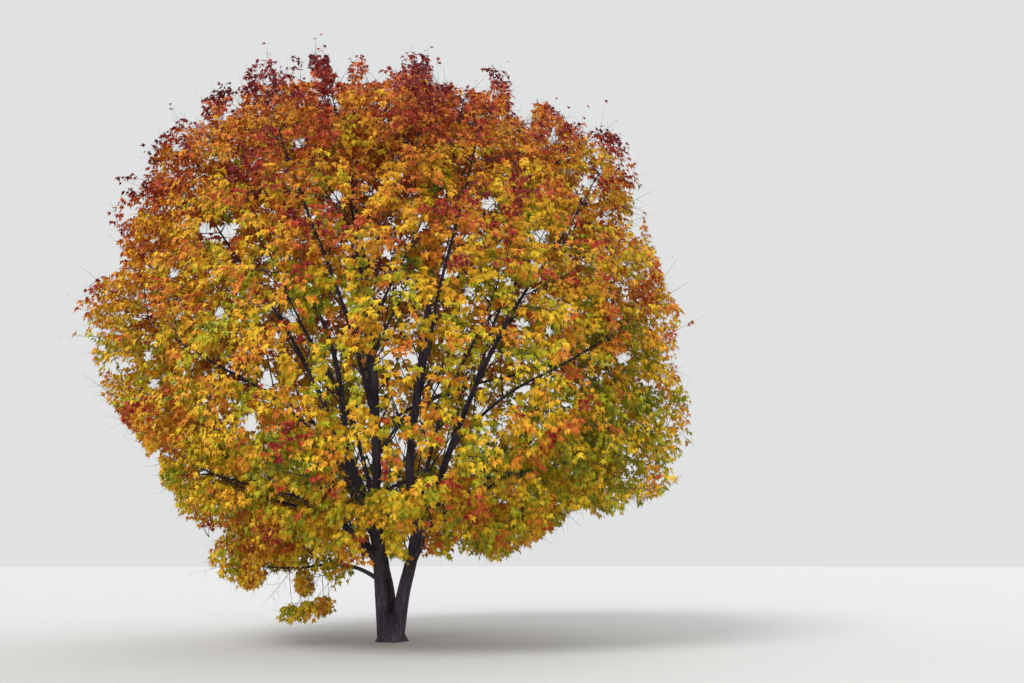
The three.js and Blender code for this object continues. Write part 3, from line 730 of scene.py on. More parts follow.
# Stretches of limbs that show, as fractions along each, and how far leaves keep to either side of their
# middle line.
SHOWN_LIMBS = {
    "stem_left": (0.28, 0.85, 110), "stem_right": (0.28, 0.85, 110), "stem_back": (0.25, 0.8, 100),
    "leader_left": (0.1, 0.9, 100), "leader_right": (0.05, 0.9, 100), "bough_low_right": (0.1, 0.9, 100),
    "bough_mid_left": (0.1, 1, 80), "bough_mid_right": (0.1, 1, 80), "bough_mid_right_front": (0.2, 0.9, 75),
    "bough_low_left": (0.1, 1, 80), "bough_high_left_front": (0.1, 1, 80),
    "bough_high_right_front": (0.1, 1, 80),
}
SHOWN_STEP, SHOWN_AXIS_HALF, SHOWN_BRANCH_HALF = 60, 58, 36
SHOWN_FIELD, SHOWN_LEVEL, SHOWN_WIDER, SHOWN_LEAST, SHOWN_BEHIND = (480, 1.9), (0.46, 0.63), 1.5, 12, 900


def on_middle_plane(points):
    """Where the line of sight to each point crosses the upright plane through the tree's middle."""
    t = -SEEN_FROM[1] / (points[:, 1] - SEEN_FROM[1])
    return (SEEN_FROM + (points - SEEN_FROM) * t[:, None])[:, [0, 2]]


def polyline(path):
    """A path of points as a curve from 0 to 1."""
    steps = np.linspace(0, 1, len(path))
    return lambda t: np.array([np.interp(t, steps, path[:, i]) for i in range(3)])


def shown_line(curve, first, last, half):
    """Points along a limb or axis, how wide a strip before each is free of leaves."""
    count = int(np.linalg.norm(curve(last) - curve(first)) / SHOWN_STEP) + 2
    line = np.array([curve(t) for t in np.linspace(first, last, count)])
    open_here = half * SHOWN_WIDER * smooth_step(*SHOWN_LEVEL, field(line, *SHOWN_FIELD))
    good = (open_here > SHOWN_LEAST) & (line[:, 1] < SHOWN_BEHIND)
    return line[good], open_here[good]


shown = [shown_line(limbs[name]["curve"], *stretch) for name, stretch in SHOWN_LIMBS.items()]
shown += [shown_line(m["axis"], 0, 1, SHOWN_AXIS_HALF) for m in masses]
shown += [shown_line(polyline(path), 0, 1, SHOWN_BRANCH_HALF) for m in masses for path, _ in m["branches"]]
shown_points = np.vstack([line for line, _ in shown])
shown_half = np.concatenate([half for _, half in shown])
shown_seen = on_middle_plane(shown_points)
print("points that show on limbs and branches:", len(shown_points))

# %% [markdown]
# ## Where a leaf may grow
# A crown isn't an even shell. Its outline bulges in tufts about 0.7 m across, and between the clumps there are
# hollows with few leaves. So a leaf is left out where it would stand past a tuft, in a hollow, too deep in the
# shade, or before something that shows.

# %% Where leaves are left out
# Each noise is given by its cell size and its shift. Then tufts: levels and how far out they reach.
TUFTS, TUFT_LEVEL, TUFT_RIM = (np.array([340.0, 340, 560]), 3.3), (0.32, 0.62), (0.78, 1.04)
CREST_RIM, CREST_HEIGHT = 0.06, (8500, 10500)
# Wider dents between the boughs.
DENTS, DENT_LEVEL, DENT_DEPTH = (900, 5.5), (0.5, 0.3), 0.09
RIM_SHARE = {"low_front": 1.2, "low_right_front": 1.1, "low_left_front": 1.15}
HOLLOWS, HOLLOW_LEVEL, HOLLOW_SHARE, HOLLOW_EDGE = (520, 9.7), (0.46, 0.22), (0.3, 0.8), 0.1
INSIDE_KEPT, INSIDE_SHARE, HANGING_SHARE, OFF_LIMBS = 0.5, (0.2, 0.55), 0.75, 60
edge_turns = np.arange(len(SEEN_REACH)) * 360 / len(SEEN_REACH)


def depth_share(points, k):
    """The outline share, but the hanging mass is in full light all through."""
    return np.maximum(outline_share(points, swells[k]), HANGING_SHARE if names[k] == "low_droop" else 0)


def kept(points, k):
    """True for the places where a leaf of mass k may grow."""
    share = depth_share(points, k)
    rim = lerp(*TUFT_RIM, smooth_step(*TUFT_LEVEL, field(points, *TUFTS))) * RIM_SHARE.get(names[k], 1)
    rim += CREST_RIM * smooth_step(*CREST_HEIGHT, points[:, 2])
    rim -= DENT_DEPTH * smooth_step(*DENT_LEVEL, field(points, *DENTS))
    good = (share < rim) & (points[:, 2] > GROUND_CLEARANCE) & (limb_distance(points) > OFF_LIMBS)
    good &= rng.uniform(0, 1, len(points)) < lerp(INSIDE_KEPT, 1, smooth_step(*INSIDE_SHARE, share))
    clump = field(points, *HOLLOWS) + HOLLOW_EDGE * rng.uniform(-1, 1, len(points))
    good &= clump > lerp(*HOLLOW_LEVEL, smooth_step(*HOLLOW_SHARE, share))
    seen = on_middle_plane(points)
    if names[k] == "low_droop":
        good &= np.any([np.linalg.norm(seen - (x, z), axis=1) < half for x, z, half in HANGING], axis=0)
    else:
        off = seen - CROWN_CENTRE[[0, 2]]
        turn = np.arctan2(off[:, 1], off[:, 0])
        edge = np.column_stack([seen[:, 0], 0 * turn, seen[:, 1] * EDGE_STRETCH])
        notch = lerp(*EDGE_NOTCH, smooth_step(0, NOTCH_TURN, np.sin(turn)))
        notch = notch * smooth_step(*EDGE_LEVEL, field(edge, *EDGES))
        reach = np.interp(np.degrees(turn), edge_turns, SEEN_REACH, period=360) + EDGE_PAST
        good &= np.linalg.norm(off, axis=1) < reach - notch
    for x, z, half in SKY_GAPS:
        ragged = half * (GAP_RAGGED[0] + GAP_RAGGED[1] * rng.uniform(0, 1, len(points)))
        good &= np.linalg.norm(seen - (x, z), axis=1) > ragged
    before = points[:, 1:2] < shown_points[:, 1]
    near = np.linalg.norm(seen[:, None] - shown_seen, axis=2) < shown_half
    good &= ~(near & before).any(1)
    return good


# %% [markdown]
# ## Autumn tints
# A maple turns from the outside in and from the top down: crimson on the sunlit rim and crest, orange below it,
# gold through the middle, and some olive left in the shaded inside and low on the right. A number for how far
# a twig has turned is worked out from where it is, with a seeded difference, and picks the tint of its leaves.

# %% Tints and how far a twig has turned
TINTS = {
    "leaf_olive": "747a1b", "leaf_yellow_green": "a39f1b", "leaf_gold": "d3ae20", "leaf_amber": "d1961f",
    "leaf_orange": "c3731f", "leaf_burnt_orange": "b0501f", "leaf_red_orange": "9e331a",
    "leaf_red": "861814", "leaf_crimson": "6a0f14",
}
SPRAY_TURN, TWIG_TURN, LEAF_TURN = 0.045, 0.035, 0.03
TURN_HEIGHTS = [2000, 3500, 4700, 6000, 7600, 9200, 11400]
TURN_VALUES = [0.25, 0.235, 0.26, 0.31, 0.36, 0.43, 0.62]
INSIDE_LAG, LAG_SHARE = 0.1, (0.25, 0.75)
# Differences by clump: how much, cell size, shift.
CLUMP_TURNS = [(0.09, 1500, 6.1), (0.19, 400, 2.2)]
# Outer tips turn first, the more the higher: by how much, over which noise, and between which heights.
TIP_SHARE, TIP_TURN, TIP_LEVEL = (0.8, 0.98), (0.14, 0.68), (0.3, 0.62)
TIP_NOISE, TIP_HEIGHT = (800, 7.5), (1000, 9000)
# Some sprays turn early, all over the crown.
EARLY_TURN, EARLY_LEVEL, EARLY_NOISE, EARLY_INSIDE = 0.48, (0.57, 0.65), (420, 4.4), 0.35
# The left side is ahead of the rest, and the low right side is behind.
SIDE_OUT, LEFT_TURN, LEFT_HEIGHT, LEFT_OUT = 6000, (0.11, 0.05), (3500, 6500), (0.15, 0.8)
RIGHT_LAG, RIGHT_OUT, RIGHT_HEIGHT = 0.03, (0.1, 0.9), (6500, 3000)


def turned(points, k):
    """0 for olive to 1 for crimson."""
    x, z, share = points[:, 0] / SIDE_OUT, points[:, 2], depth_share(points, k)
    tip = smooth_step(*TIP_SHARE, share)
    value = np.interp(z, TURN_HEIGHTS, TURN_VALUES) - INSIDE_LAG * (1 - smooth_step(*LAG_SHARE, share))
    for amount, size, shift in CLUMP_TURNS:
        value += amount * (field(points, size, shift) - 0.5) * 2
    tip_turn = lerp(*TIP_TURN, smooth_step(*TIP_LEVEL, field(points, *TIP_NOISE)))
    value += tip_turn * tip * smooth_step(*TIP_HEIGHT, z)
    value += EARLY_TURN * smooth_step(*EARLY_LEVEL, field(points, *EARLY_NOISE)) * lerp(EARLY_INSIDE, 1, tip)
    value += lerp(*LEFT_TURN, smooth_step(*LEFT_HEIGHT, z)) * smooth_step(*LEFT_OUT, -x)
    value -= RIGHT_LAG * smooth_step(*RIGHT_OUT, x) * smooth_step(*RIGHT_HEIGHT, z)
    return value


# %% [markdown]
# ## Growing all twigs and leaves
# The axis of each mass runs on from its bough, thins, and ends in a spray. Short leafy shoots also fill the
# outer half of each limb and axis, where some light still gets in.

# %% Gather twigs and leaves
# A longer twig has a ring at its middle. The radius is for a twig of TWIG_OF_LENGTH, and grows with its root.
LONG_TWIG, LONG_TWIG_POINTS, TWIG_TAPER, TWIG_OF_LENGTH = 620, 3, 0.62, 500
SHADE_SHARE, SHADE_LARGER, SHADE_YOUNG = (0.3, 0.7), 0.5, 0.5
STEM_DIP, SPRAY_TAPER = 0.03, 0.75
AXIS_POINTS, AXIS_RADII, AXIS_SIDES = 9, (27.5, 8), 8
SHOOT_PATH, SHOOT_TIP, SHOOT_RADII, SHOOT_SIDES = np.array([0, 0.5, 1]), 60, np.array([[13, 11, 9.5]]), 5
LEAFY_LENGTH, LEAFY_RADIUS, LEAFY_SAG, LEAFY_ALONG, LEAFY_UP = (260, 560), 5, (0.02, 0.2), 0.6, 0.25
LIMB_LEAFY, LIMB_LEAFY_SPACING, AXIS_LEAFY_SPACING, LIMB_WOOD_FROM = (0.55, 1.0), 130, 110, 0.5
# A finer spray's stem that is shorter than this is left out, and its main twig starts at the wood itself.
STEM_LEAST = 60
# Share of the twigs that stay where all their leaves are gone.
BARE_SHARE = 0.3
twig_batches = {"lower": Batch(), "upper": Batch()}
leaf_batches = {}
leaf_roots, wood_points = [], []
kept_leaves = {}


def twig_batch(mass):
    return twig_batches["lower" if mass["mass"].startswith(("low", "mid")) else "upper"]


def deal_leaves(mass, start, direction, reach, sag, spray_turn):
    """Leaves on these twigs. Gives True for the twigs to draw."""
    k = mass["cell"]
    root, ahead, hand, twig = leaf_places(start, direction, reach, sag)
    good = kept(root, k)
    root, ahead, hand, twig = root[good], ahead[good], hand[good], twig[good]
    inside = 1 - smooth_step(*SHADE_SHARE, depth_share(root, k))
    width = rng.uniform(*LEAF_WIDTH, len(root)) * (1 + SHADE_LARGER * inside)
    by_twig = spray_turn + rng.normal(0, TWIG_TURN, len(start))
    value = turned(root, k) + by_twig[twig] + rng.normal(0, LEAF_TURN, len(root))
    tint = np.clip(np.floor(value * len(TINTS)), 0, len(TINTS) - 1).astype(int)
    group = mass["mass"].split("_")[0]
    side = "" if group == "top" else "_front" if centres[k][1] < 0 else "_back"
    batch = leaf_batches.setdefault(group + side, Batch())
    young = (inside > SHADE_YOUNG) | (rng.uniform(0, 1, len(root)) < YOUNG_SHARE)
    for chosen, stalked in ((~young, True), (young, False)):
        if chosen.any():
            corners = leaf_corners(stalked, root[chosen], ahead[chosen], hand[chosen], mass["outward"],
                                   width[chosen])
            batch.add(corners, leaf_shape(stalked)[1], tint[chosen])
    leaf_roots.append(root)
    kept_leaves[mass["mass"]] = kept_leaves.get(mass["mass"], 0) + len(root)
    return (np.bincount(twig, minlength=len(start)) > 0) | (rng.uniform(0, 1, len(start)) < BARE_SHARE)


def add_side_twigs(mass, start, direction, reach, sag, thickness):
    for chosen, points in ((reach > LONG_TWIG, LONG_TWIG_POINTS), (reach <= LONG_TWIG, 2)):
        if chosen.any():
            paths = twig_path(start[chosen], direction[chosen], reach[chosen], sag[chosen], points)
            radius = thickness * np.sqrt(reach[chosen] / TWIG_OF_LENGTH)
            tubes(twig_batch(mass), paths, radius[:, None] * np.array([1, TWIG_TAPER])[:points - 1])


def add_spray(mass, spray, stem=None):
    """One spray with its main twig, which starts at the point stem when that is given."""
    path, start, direction, reach, sag = spray_twigs(spray)
    wood_points.append(path)
    if stem is None:
        full = path
    elif np.linalg.norm(path[0] - stem) < STEM_LEAST:
        full = np.vstack([stem, path[2::2]])
    else:
        full = np.vstack([stem, lerp(stem, path[0], 0.5) - UP * STEM_DIP * spray["length"], path[::2]])
    radius = SPRAY_TWIG_RADIUS * min(1, math.sqrt(np.linalg.norm(full[-1] - full[0]) / SPRAY_LENGTH))
    radii = radius * (1 - np.linspace(0, SPRAY_TAPER, len(full) - 1))
    tubes(twig_batch(mass), full[None], radii[None], TWIG_SIDES + (stem is None))
    drawn = deal_leaves(mass, start, direction, reach, sag, rng.normal(0, SPRAY_TURN))
    add_side_twigs(mass, start[drawn], direction[drawn], reach[drawn], sag[drawn], SIDE_TWIG_RADIUS)


def leafy_shoots(mass, curve, first, last, spacing):
    """Short leafy shoots along a stretch of a limb or axis."""
    count = int(np.linalg.norm(curve(last) - curve(first)) / spacing)
    at = first + (last - first) * (np.arange(count) + rng.uniform(0, 1, count)) / count
    start = np.array([curve(t) for t in at])
    ahead = np.array([tangent(curve, t) for t in at])
    off = unit(np.cross(ahead, rng.normal(0, 1, (count, 3))))
    direction = unit(ahead * LEAFY_ALONG + off + UP * LEAFY_UP)
    reach = rng.uniform(*LEAFY_LENGTH, count)
    free = inside_cell(mass["cell"], start + direction * reach[:, None])
    sag = rng.uniform(*LEAFY_SAG, count)
    if free.any():
        start, direction, reach, sag = start[free], direction[free], reach[free], sag[free]
        drawn = deal_leaves(mass, start, direction, reach, sag, 0.0)
        add_side_twigs(mass, start[drawn], direction[drawn], reach[drawn], sag[drawn], LEAFY_RADIUS)


for mass in masses:
    batch = twig_batch(mass)
    for path, radius in mass["branches"]:
        wood_points.append(path[1:])
        branch_radii = lerp(radius, BRANCH_TIP, np.linspace(0, 1, len(path))[:-1])
        tubes(batch, path[None], branch_radii[None], BRANCH_SIDES)
    shares = np.linspace(0, 1, AXIS_POINTS)
    axis_path = np.array([mass["axis"](t) for t in shares])
    wood_points.append(axis_path)
    tubes(batch, axis_path[None], lerp(*AXIS_RADII, shares[:-1])[None], AXIS_SIDES)
    for shoot in mass["shoots"]:
        if len(shoot["points"]) == 2:
            first, last = shoot["points"]
            path = first + (last - first) * SHOOT_PATH[:, None]
            wood_points.append(path)
            shoot_end = last + unit(last - first) * SHOOT_TIP
            tubes(batch, np.vstack([path, shoot_end])[None], SHOOT_RADII, SHOOT_SIDES)
        if shoot["spray"]:
            add_spray(mass, shoot["spray"])
    limb_curve = mass["limb"]["curve"]
    wood_points.append(np.array([limb_curve(t) for t in np.linspace(LIMB_WOOD_FROM, 1, AXIS_POINTS)]))
    leafy_shoots(mass, limb_curve, *LIMB_LEAFY, LIMB_LEAFY_SPACING)
    leafy_shoots(mass, mass["axis"], 0.0, 1.0, AXIS_LEAFY_SPACING)
print("leaves on the source's sprays:", sum(kept_leaves.values()))

# %% [markdown]
# ## Finer sprays in the gaps
# Real twigs keep branching until every bit of light is used. So each mass is searched for places that are far
# from any leaf, and the nearest wood that can reach such a place sends a finer spray there. Repeating this lets
# new sprays carry further ones, and it evens out the crown right up to its outline.

# %% Fill the gaps
FILL_TRIES = 700
# Least distance to any leaf, in each of the two rounds, and then to the next place chosen.
FILL_GAPS, FILL_APART = (290, 258), 430
FINER_FILLED = {"low_droop": 0.65, "low_front": 0.62, "low_left_front": 0.7, "low_right_front": 0.75,
                "top_left_front": 0.8, "top_right_front": 0.8, "top_left_back": 0.85, "top_right_back": 0.85,
                "high_left": 0.88, "high_right": 0.88}
FILL_FROM = 0.45
FILL_LENGTH = (560, 860)
FILL_LEAF_SHARE = 0.55
# Wood that lies inward of and below the place is taken first: how much its distance counts less for that.
SEARCHED, NEAREST, WOOD_TURN, WOOD_UP = 10, 1, 1.7, 0.3


def tree_of(points):
    made = kdtree.KDTree(len(points))
    for i, p in enumerate(points):
        made.insert(p, i)
    made.balance()
    return made


fills = 0
for gap in FILL_GAPS:
    leaf_tree, wood = tree_of(np.vstack(leaf_roots)), np.vstack(wood_points)
    wood_tree = tree_of(wood)
    for mass in masses:
        k = mass["cell"]
        least = gap * FINER_FILLED.get(mass["mass"], 1)
        wanted = unit(mass["outward"] + UP * WOOD_UP)
        tries = centres[k] + unit(rng.normal(0, 1, (FILL_TRIES, 3))) * reaches[k] * np.cbrt(
            rng.uniform(0, 1, FILL_TRIES))[:, None]
        good = inside_cell(k, tries) & kept(tries, k) & (depth_share(tries, k) > FILL_FROM)
        chosen = np.empty((0, 3))
        for place in tries[good & (limb_distance(tries) > LIMB_CLEARANCE)]:
            apart = np.linalg.norm(chosen - place, axis=1)
            if leaf_tree.find(place)[2] < least or (apart < FILL_APART * least / gap).any():
                continue
            chosen = np.vstack([chosen, place])
            found = wood_tree.find_n(place, SEARCHED)
            costs = [d * (WOOD_TURN - np.dot(unit(place - np.array(p)), wanted))
                     for p, _, d in found if d > NEAREST]
            stem = wood[found[int(np.argmin(costs))][1]]
            along = unit(place - stem)
            length = rng.uniform(*FILL_LENGTH)
            base = place - along * min(length * FILL_LEAF_SHARE, np.linalg.norm(place - stem))
            add_spray(mass, spray_at(base, along, length, mass["outward"], hash32(fills, 3)), stem)
            fills += 1
    print("after a round: fills", fills, "leaves", sum(kept_leaves.values()))

# %% [markdown]
# ## Stray twigs above the crown
# A few of the year's longest shoots stand clear of the crown's top, half bare, with a leaf or two left on them.

# %% Stray twigs
STRAYS_OF_MASS, STRAY_FROM_HEIGHT, STRAY_SHARE = 10, 8200, 0.86
STRAY_LENGTH, STRAY_RADIUS, STRAY_SAG = (320, 620), 4.0, 0.03
STRAY_OUT, STRAY_UP, STRAY_SPREAD = 0.5, 0.8, 0.15
STRAY_LIMIT = np.array([6180.0, 6100, 12300])
STRAY_LEAF_AT, STRAY_LEAF_SHARE, STRAY_LEAF_SMALLER, STRAY_TINTS = (0.62, 0.8, 0.97), 0.45, 0.85, 4

strays = 0
for mass in masses:
    if not mass["mass"].startswith(("high", "top")):
        continue
    k = mass["cell"]
    roots = np.vstack(leaf_roots)
    roots = roots[(roots[:, 2] > STRAY_FROM_HEIGHT) & inside_cell(k, roots)]
    roots = roots[outline_share(roots, swells[k]) > STRAY_SHARE]
    start = roots[rng.integers(0, len(roots), STRAYS_OF_MASS)]
    outward = unit(start - CROWN_CENTRE)
    direction = unit(outward * STRAY_OUT + UP * STRAY_UP + rng.normal(0, STRAY_SPREAD, start.shape))
    reach = rng.uniform(*STRAY_LENGTH, len(start))
    free = (np.abs(start + direction * reach[:, None]) < STRAY_LIMIT).all(1)
    start, direction, reach = start[free], direction[free], reach[free]
    add_side_twigs(mass, start, direction, reach, np.full(len(start), STRAY_SAG), STRAY_RADIUS)
    for at in STRAY_LEAF_AT:
        chosen = rng.uniform(0, 1, len(start)) < STRAY_LEAF_SHARE
        place = (start + direction * reach[:, None] * at)[chosen]
        hand = rng.choice([-1, 1], len(place))
        tint = rng.integers(len(TINTS) - STRAY_TINTS, len(TINTS), len(place))
        width = rng.uniform(*LEAF_WIDTH, len(place)) * STRAY_LEAF_SMALLER
        corners = leaf_corners(True, place, direction[chosen], hand, mass["outward"], width)
        leaf_batches["top"].add(corners, leaf_shape(True)[1], tint)
    strays += len(start)
print("stray twigs:", strays)

# %% [markdown]
# ## Leaf finish
# An autumn leaf is matt with a thin waxy skin: roughness about 0.6, the usual index of 1.45, and hardly any
# gloss. Each tint is a plain colour, so that it comes through the export unchanged.

# %% Leaf materials
LEAF_FINISH = {"IOR": 1.45, "Specular IOR Level": 0.3}
LEAF_ROUGHNESS = 0.62


def plain_material(name, hex_value, roughness, finish=None):
    made = bpy.data.materials.new(name)
    made.use_nodes = True
    sockets = made.node_tree.nodes["Principled BSDF"].inputs
    for socket, value in {"Base Color": linear(hex_value), "Roughness": roughness, **(finish or {})}.items():
        sockets[socket].default_value = value
    return made


leaf_materials = [plain_material(name, value, LEAF_ROUGHNESS, LEAF_FINISH) for name, value in TINTS.items()]
print("tints:", [m.name for m in leaf_materials])

# %% [markdown]
# ## Bark
# Bark of a middle-aged maple is dark and finely furrowed: narrow cracks run up the stem and join in a long
# net. They could be a bump in the material alone, but close up and in the exported mesh they have to be real.
# So the tubes carry them as relief: smooth noise that closes round the stem is pressed in along its middle
# level, which draws thin lines, and dividing by its slope gives all of them about the same width.

# %% Bark tubes with relief
FURROW_ACROSS, FURROW_ALONG = 38, 200
FURROW_DEPTH = 0.07
# Half width of a crack, and the least in sides of the tube, so that coarse tubes still show it.
CRACK_WIDTH, CRACK_SIDES = 8, 0.7
# Noises of the bark: cells round the stem at least, how coarse and strong the sway is, how fine and high the
# grain.
LEAST_CELLS, SWAY_COARSER, SWAY_ALONG, SWAY, FINER_ALONG, FINE_HEIGHT = 5, 4, 2, 0.6, 3, 0.35
LEAST_SLOPE = 1e-5
TIP_ROUND = 0.5


def closed_noise(around, along, cells_around, seed):
    """Smooth noise 0 to 1 at places around (0 to 1, closing) and along (in cells)."""
    local = np.random.default_rng(seed)
    table = local.uniform(0, 1, (int(along.max()) + 3, cells_around))
    u, v = around * cells_around, along
    i, j = np.floor(u).astype(int), np.floor(v).astype(int)
    fu, fv = u - i, v - j
    fu, fv = fu * fu * (3 - 2 * fu), fv * fv * (3 - 2 * fv)
    i0, i1 = i % cells_around, (i + 1) % cells_around
    low = lerp(table[j, i0], table[j, i1], fu)
    high = lerp(table[j + 1, i0], table[j + 1, i1], fu)
    return lerp(low, high, fv)


def furrows(around, distance, girth, seed):
    """Relief of the bark, and how far into a crack each place is, 0 to 1."""
    cells = max(LEAST_CELLS, round(girth / FURROW_ACROSS))
    sway = closed_noise(around, distance / (FURROW_ALONG * SWAY_ALONG), max(3, cells // SWAY_COARSER), seed + 1)
    level = closed_noise((around + SWAY * (sway - 0.5) / cells) % 1, distance / FURROW_ALONG, cells, seed)
    fine = closed_noise(around, distance / (FURROW_ALONG / FINER_ALONG), cells * 2, seed + 2)
    side_length = girth / around.shape[1]
    across_slope = (np.roll(level, -1, 1) - np.roll(level, 1, 1)) / (2 * side_length)
    slope = np.hypot(across_slope, np.gradient(level, distance[:, 0], axis=0)) + LEAST_SLOPE
    width = max(CRACK_WIDTH, CRACK_SIDES * side_length)
    crack = np.exp(-np.abs(level - 0.5) / slope / width) * np.abs(across_slope) / slope
    return FINE_HEIGHT * (fine - 0.5) - crack, crack


def bark_tube(batch, curve, radius_at, sides, ring_lengths, seed):
    """A closed tube along a curve, with its radius in furrows; ring_lengths is the spacing at the two ends."""
    shares, t = [0.0], 0.0
    whole = np.linalg.norm(curve(1) - curve(0))
    while t < 1:
        t = min(1.0, t + lerp(*ring_lengths, t) / whole)
        shares.append(t)
    shares = np.array(shares)
    centre = np.array([curve(t) for t in shares])
    ahead = np.array([tangent(curve, t) for t in shares])
    side = frame_of(ahead[0])[0]
    sides_at = []
    for d in ahead:
        side = unit(side - d * side.dot(d))
        sides_at.append(side)
    sides_at = np.array(sides_at)
    up = np.cross(ahead, sides_at)
    distance = np.concatenate([[0], np.cumsum(np.linalg.norm(np.diff(centre, axis=0), axis=1))])
    radius = np.array([radius_at(t) for t in shares])
    around, along = np.meshgrid(np.arange(sides) / sides, distance)
    relief, crack = furrows(around, along, 2 * math.pi * radius[0], seed)
    a = around * 2 * math.pi
    ring = sides_at[:, None] * np.cos(a)[..., None] + up[:, None] * np.sin(a)[..., None]
    corners = centre[:, None] + ring * (radius[:, None] * (1 + FURROW_DEPTH * relief))[..., None]
    add_rings(batch, corners, centre[0], centre[-1] + ahead[-1] * radius[-1] * TIP_ROUND, crack)


def add_rings(batch, corners, foot, top, crack):
    """Rings of corners joined to a closed tube, with the crack value of each corner."""
    batch.cracks.append(np.concatenate([crack.ravel(), [0, 0]]))
    rows, sides = corners.shape[:2]
    grid = np.arange(rows * sides).reshape(rows, sides)
    a, b = grid[:-1], grid[1:]
    an, bn = np.roll(a, -1, 1), np.roll(b, -1, 1)
    faces = [np.stack([a, an, bn], -1).reshape(-1, 3), np.stack([a, bn, b], -1).reshape(-1, 3)]
    low, high = rows * sides, rows * sides + 1
    first, last = grid[0], grid[-1]
    faces.append(np.stack([np.full(sides, low), np.roll(first, -1), first], -1))
    faces.append(np.stack([np.full(sides, high), last, np.roll(last, -1)], -1))
    batch.add(np.vstack([corners.reshape(-1, 3), foot[None], top[None]])[None], np.vstack(faces))


# %% [markdown]
# ## Stems, collar and boughs
# On the real tree the wood runs on from the roots to the twigs without a joint. Here each limb is a tube of its
# own that starts on its parent's middle line, and a bough swells a little there, as wood does round a fork. The
# collar is a ring of root ridges that flare out to the ground. The tubes are a hair slimmer than the solids.

# %% Stems, collar and boughs
STEM_SIDES, STEM_RINGS, STEM_SLIMMER = 120, (34, 110), 0.97
LEADER_SIDES, LEADER_RINGS = 32, (28, 80)
BOUGH_SIDES, BOUGH_RINGS, BOUGH_SLIMMER = 20, (36, 90), 0.96
# How much a fork swells, over how much of the limb, and the most of the parent's radius that it may take.
FORK_SWELL, FORK_LENGTH, FORK_MOST = 0.4, 0.05, 0.86
COLLAR_FINE_SIDES, COLLAR_FINE_RINGS, COLLAR_RELIEF, COLLAR_OUT, COLLAR_SEED = 190, 48, 0.6, 0.2, 7
SEEDS_APART = 10
stem_bark, bough_bark = Batch(), Batch()
shares_of = {row[0]: row[4] for row in LIMBS}


def radius_of(limb, slimmer, swell=0.0):
    return lambda t: lerp(limb["base"], limb["tip"], t) * slimmer * (1 + swell * math.exp(-t / FORK_LENGTH))


for number, (name, limb) in enumerate(limbs.items()):
    if name in STEMS:
        bark_tube(stem_bark, limb["curve"], radius_of(limb, STEM_SLIMMER), STEM_SIDES, STEM_RINGS,
                  number * SEEDS_APART)
    else:
        sides, rings = (LEADER_SIDES, LEADER_RINGS) if name.startswith("leader") else (BOUGH_SIDES, BOUGH_RINGS)
        swell = min(FORK_SWELL, FORK_MOST / shares_of[name] - 1)
        bark_tube(bough_bark, limb["curve"], radius_of(limb, BOUGH_SLIMMER, swell), sides, rings,
                  number * SEEDS_APART)


def collar_bark():
    share = np.linspace(0, 1, COLLAR_FINE_RINGS)[:, None]
    z = COLLAR_HEIGHT * share ** RING_CROWDING
    a = np.arange(COLLAR_FINE_SIDES)[None] / COLLAR_FINE_SIDES * 2 * math.pi
    fade = np.exp(-z / FLARE_HEIGHT)
    ridges = sum(size * np.exp(-((np.arctan2(np.sin(a - middle), np.cos(a - middle)) / width) ** 2))
                 for middle, size, width in ROOT_RIDGES)
    r = (COLLAR_RADIUS + FLARE * fade) * (1 - COLLAR_NARROWS * share ** 3) + ridges * fade
    around, along = np.broadcast_arrays(a / (2 * math.pi), z)
    relief, crack = furrows(around, along, 2 * math.pi * COLLAR_RADIUS, COLLAR_SEED)
    r = r * (1 + FURROW_DEPTH * COLLAR_RELIEF * (relief - COLLAR_OUT))
    x, y = COLLAR_MIDDLE
    corners = np.stack([x + np.cos(a) * r, y + np.sin(a) * r, np.broadcast_to(z, r.shape)], -1)
    add_rings(stem_bark, corners, np.array([x, y, 0.0]), np.array([x, y, COLLAR_HEIGHT]), crack)


collar_bark()

# %% [markdown]
# ## Bark finish
# Maple bark is rough, dull and dark: grey-brown with a violet cast on the ridges. Painted shade turns the
# cracks nearly black where the mesh's own relief is deep, a stretched grain of 14 mm breaks up the ridges,
# and wide soft patches keep one side of a stem from looking like the other.

# %% Bark materials
# The second colour is the dark end of the bark's ramp: painted shade in the cracks, and the bark's darker tone
# where grain and patches run low.
BARK_RIDGE, BARK_DARK_AND_CRACK_SHADE, BARK_TWIG = "4d444f", "17141f", "272230"
BARK_ROUGHNESS, TWIG_ROUGHNESS = 0.9, 0.8
GRAIN_MM, GRAIN_STRETCH, GRAIN_DETAIL, GRAIN_SHARE = 14, 0.22, 3.0, 0.7
PATCHES_PER_M, PATCH_DETAIL = 2.5, 2.0
# Strength of the painted shade in the cracks, and the ramp's dark and light ends.
CRACK_PAINTED_SHADE, DARK_TO_LIGHT = 0.5, (0.5, 1.0)
BUMP_STRENGTH, BUMP_DEPTH = 0.5, 4 * MM


def times_plus(tree, value, factor, added):
    """value * factor + added, for two output sockets and a number."""
    made = add_node(tree, "ShaderNodeMath", {"operation": "MULTIPLY_ADD"})
    tree.links.new(value, made.inputs[0])
    made.inputs[1].default_value = factor
    tree.links.new(added, made.inputs[2])
    return made.outputs["Value"]


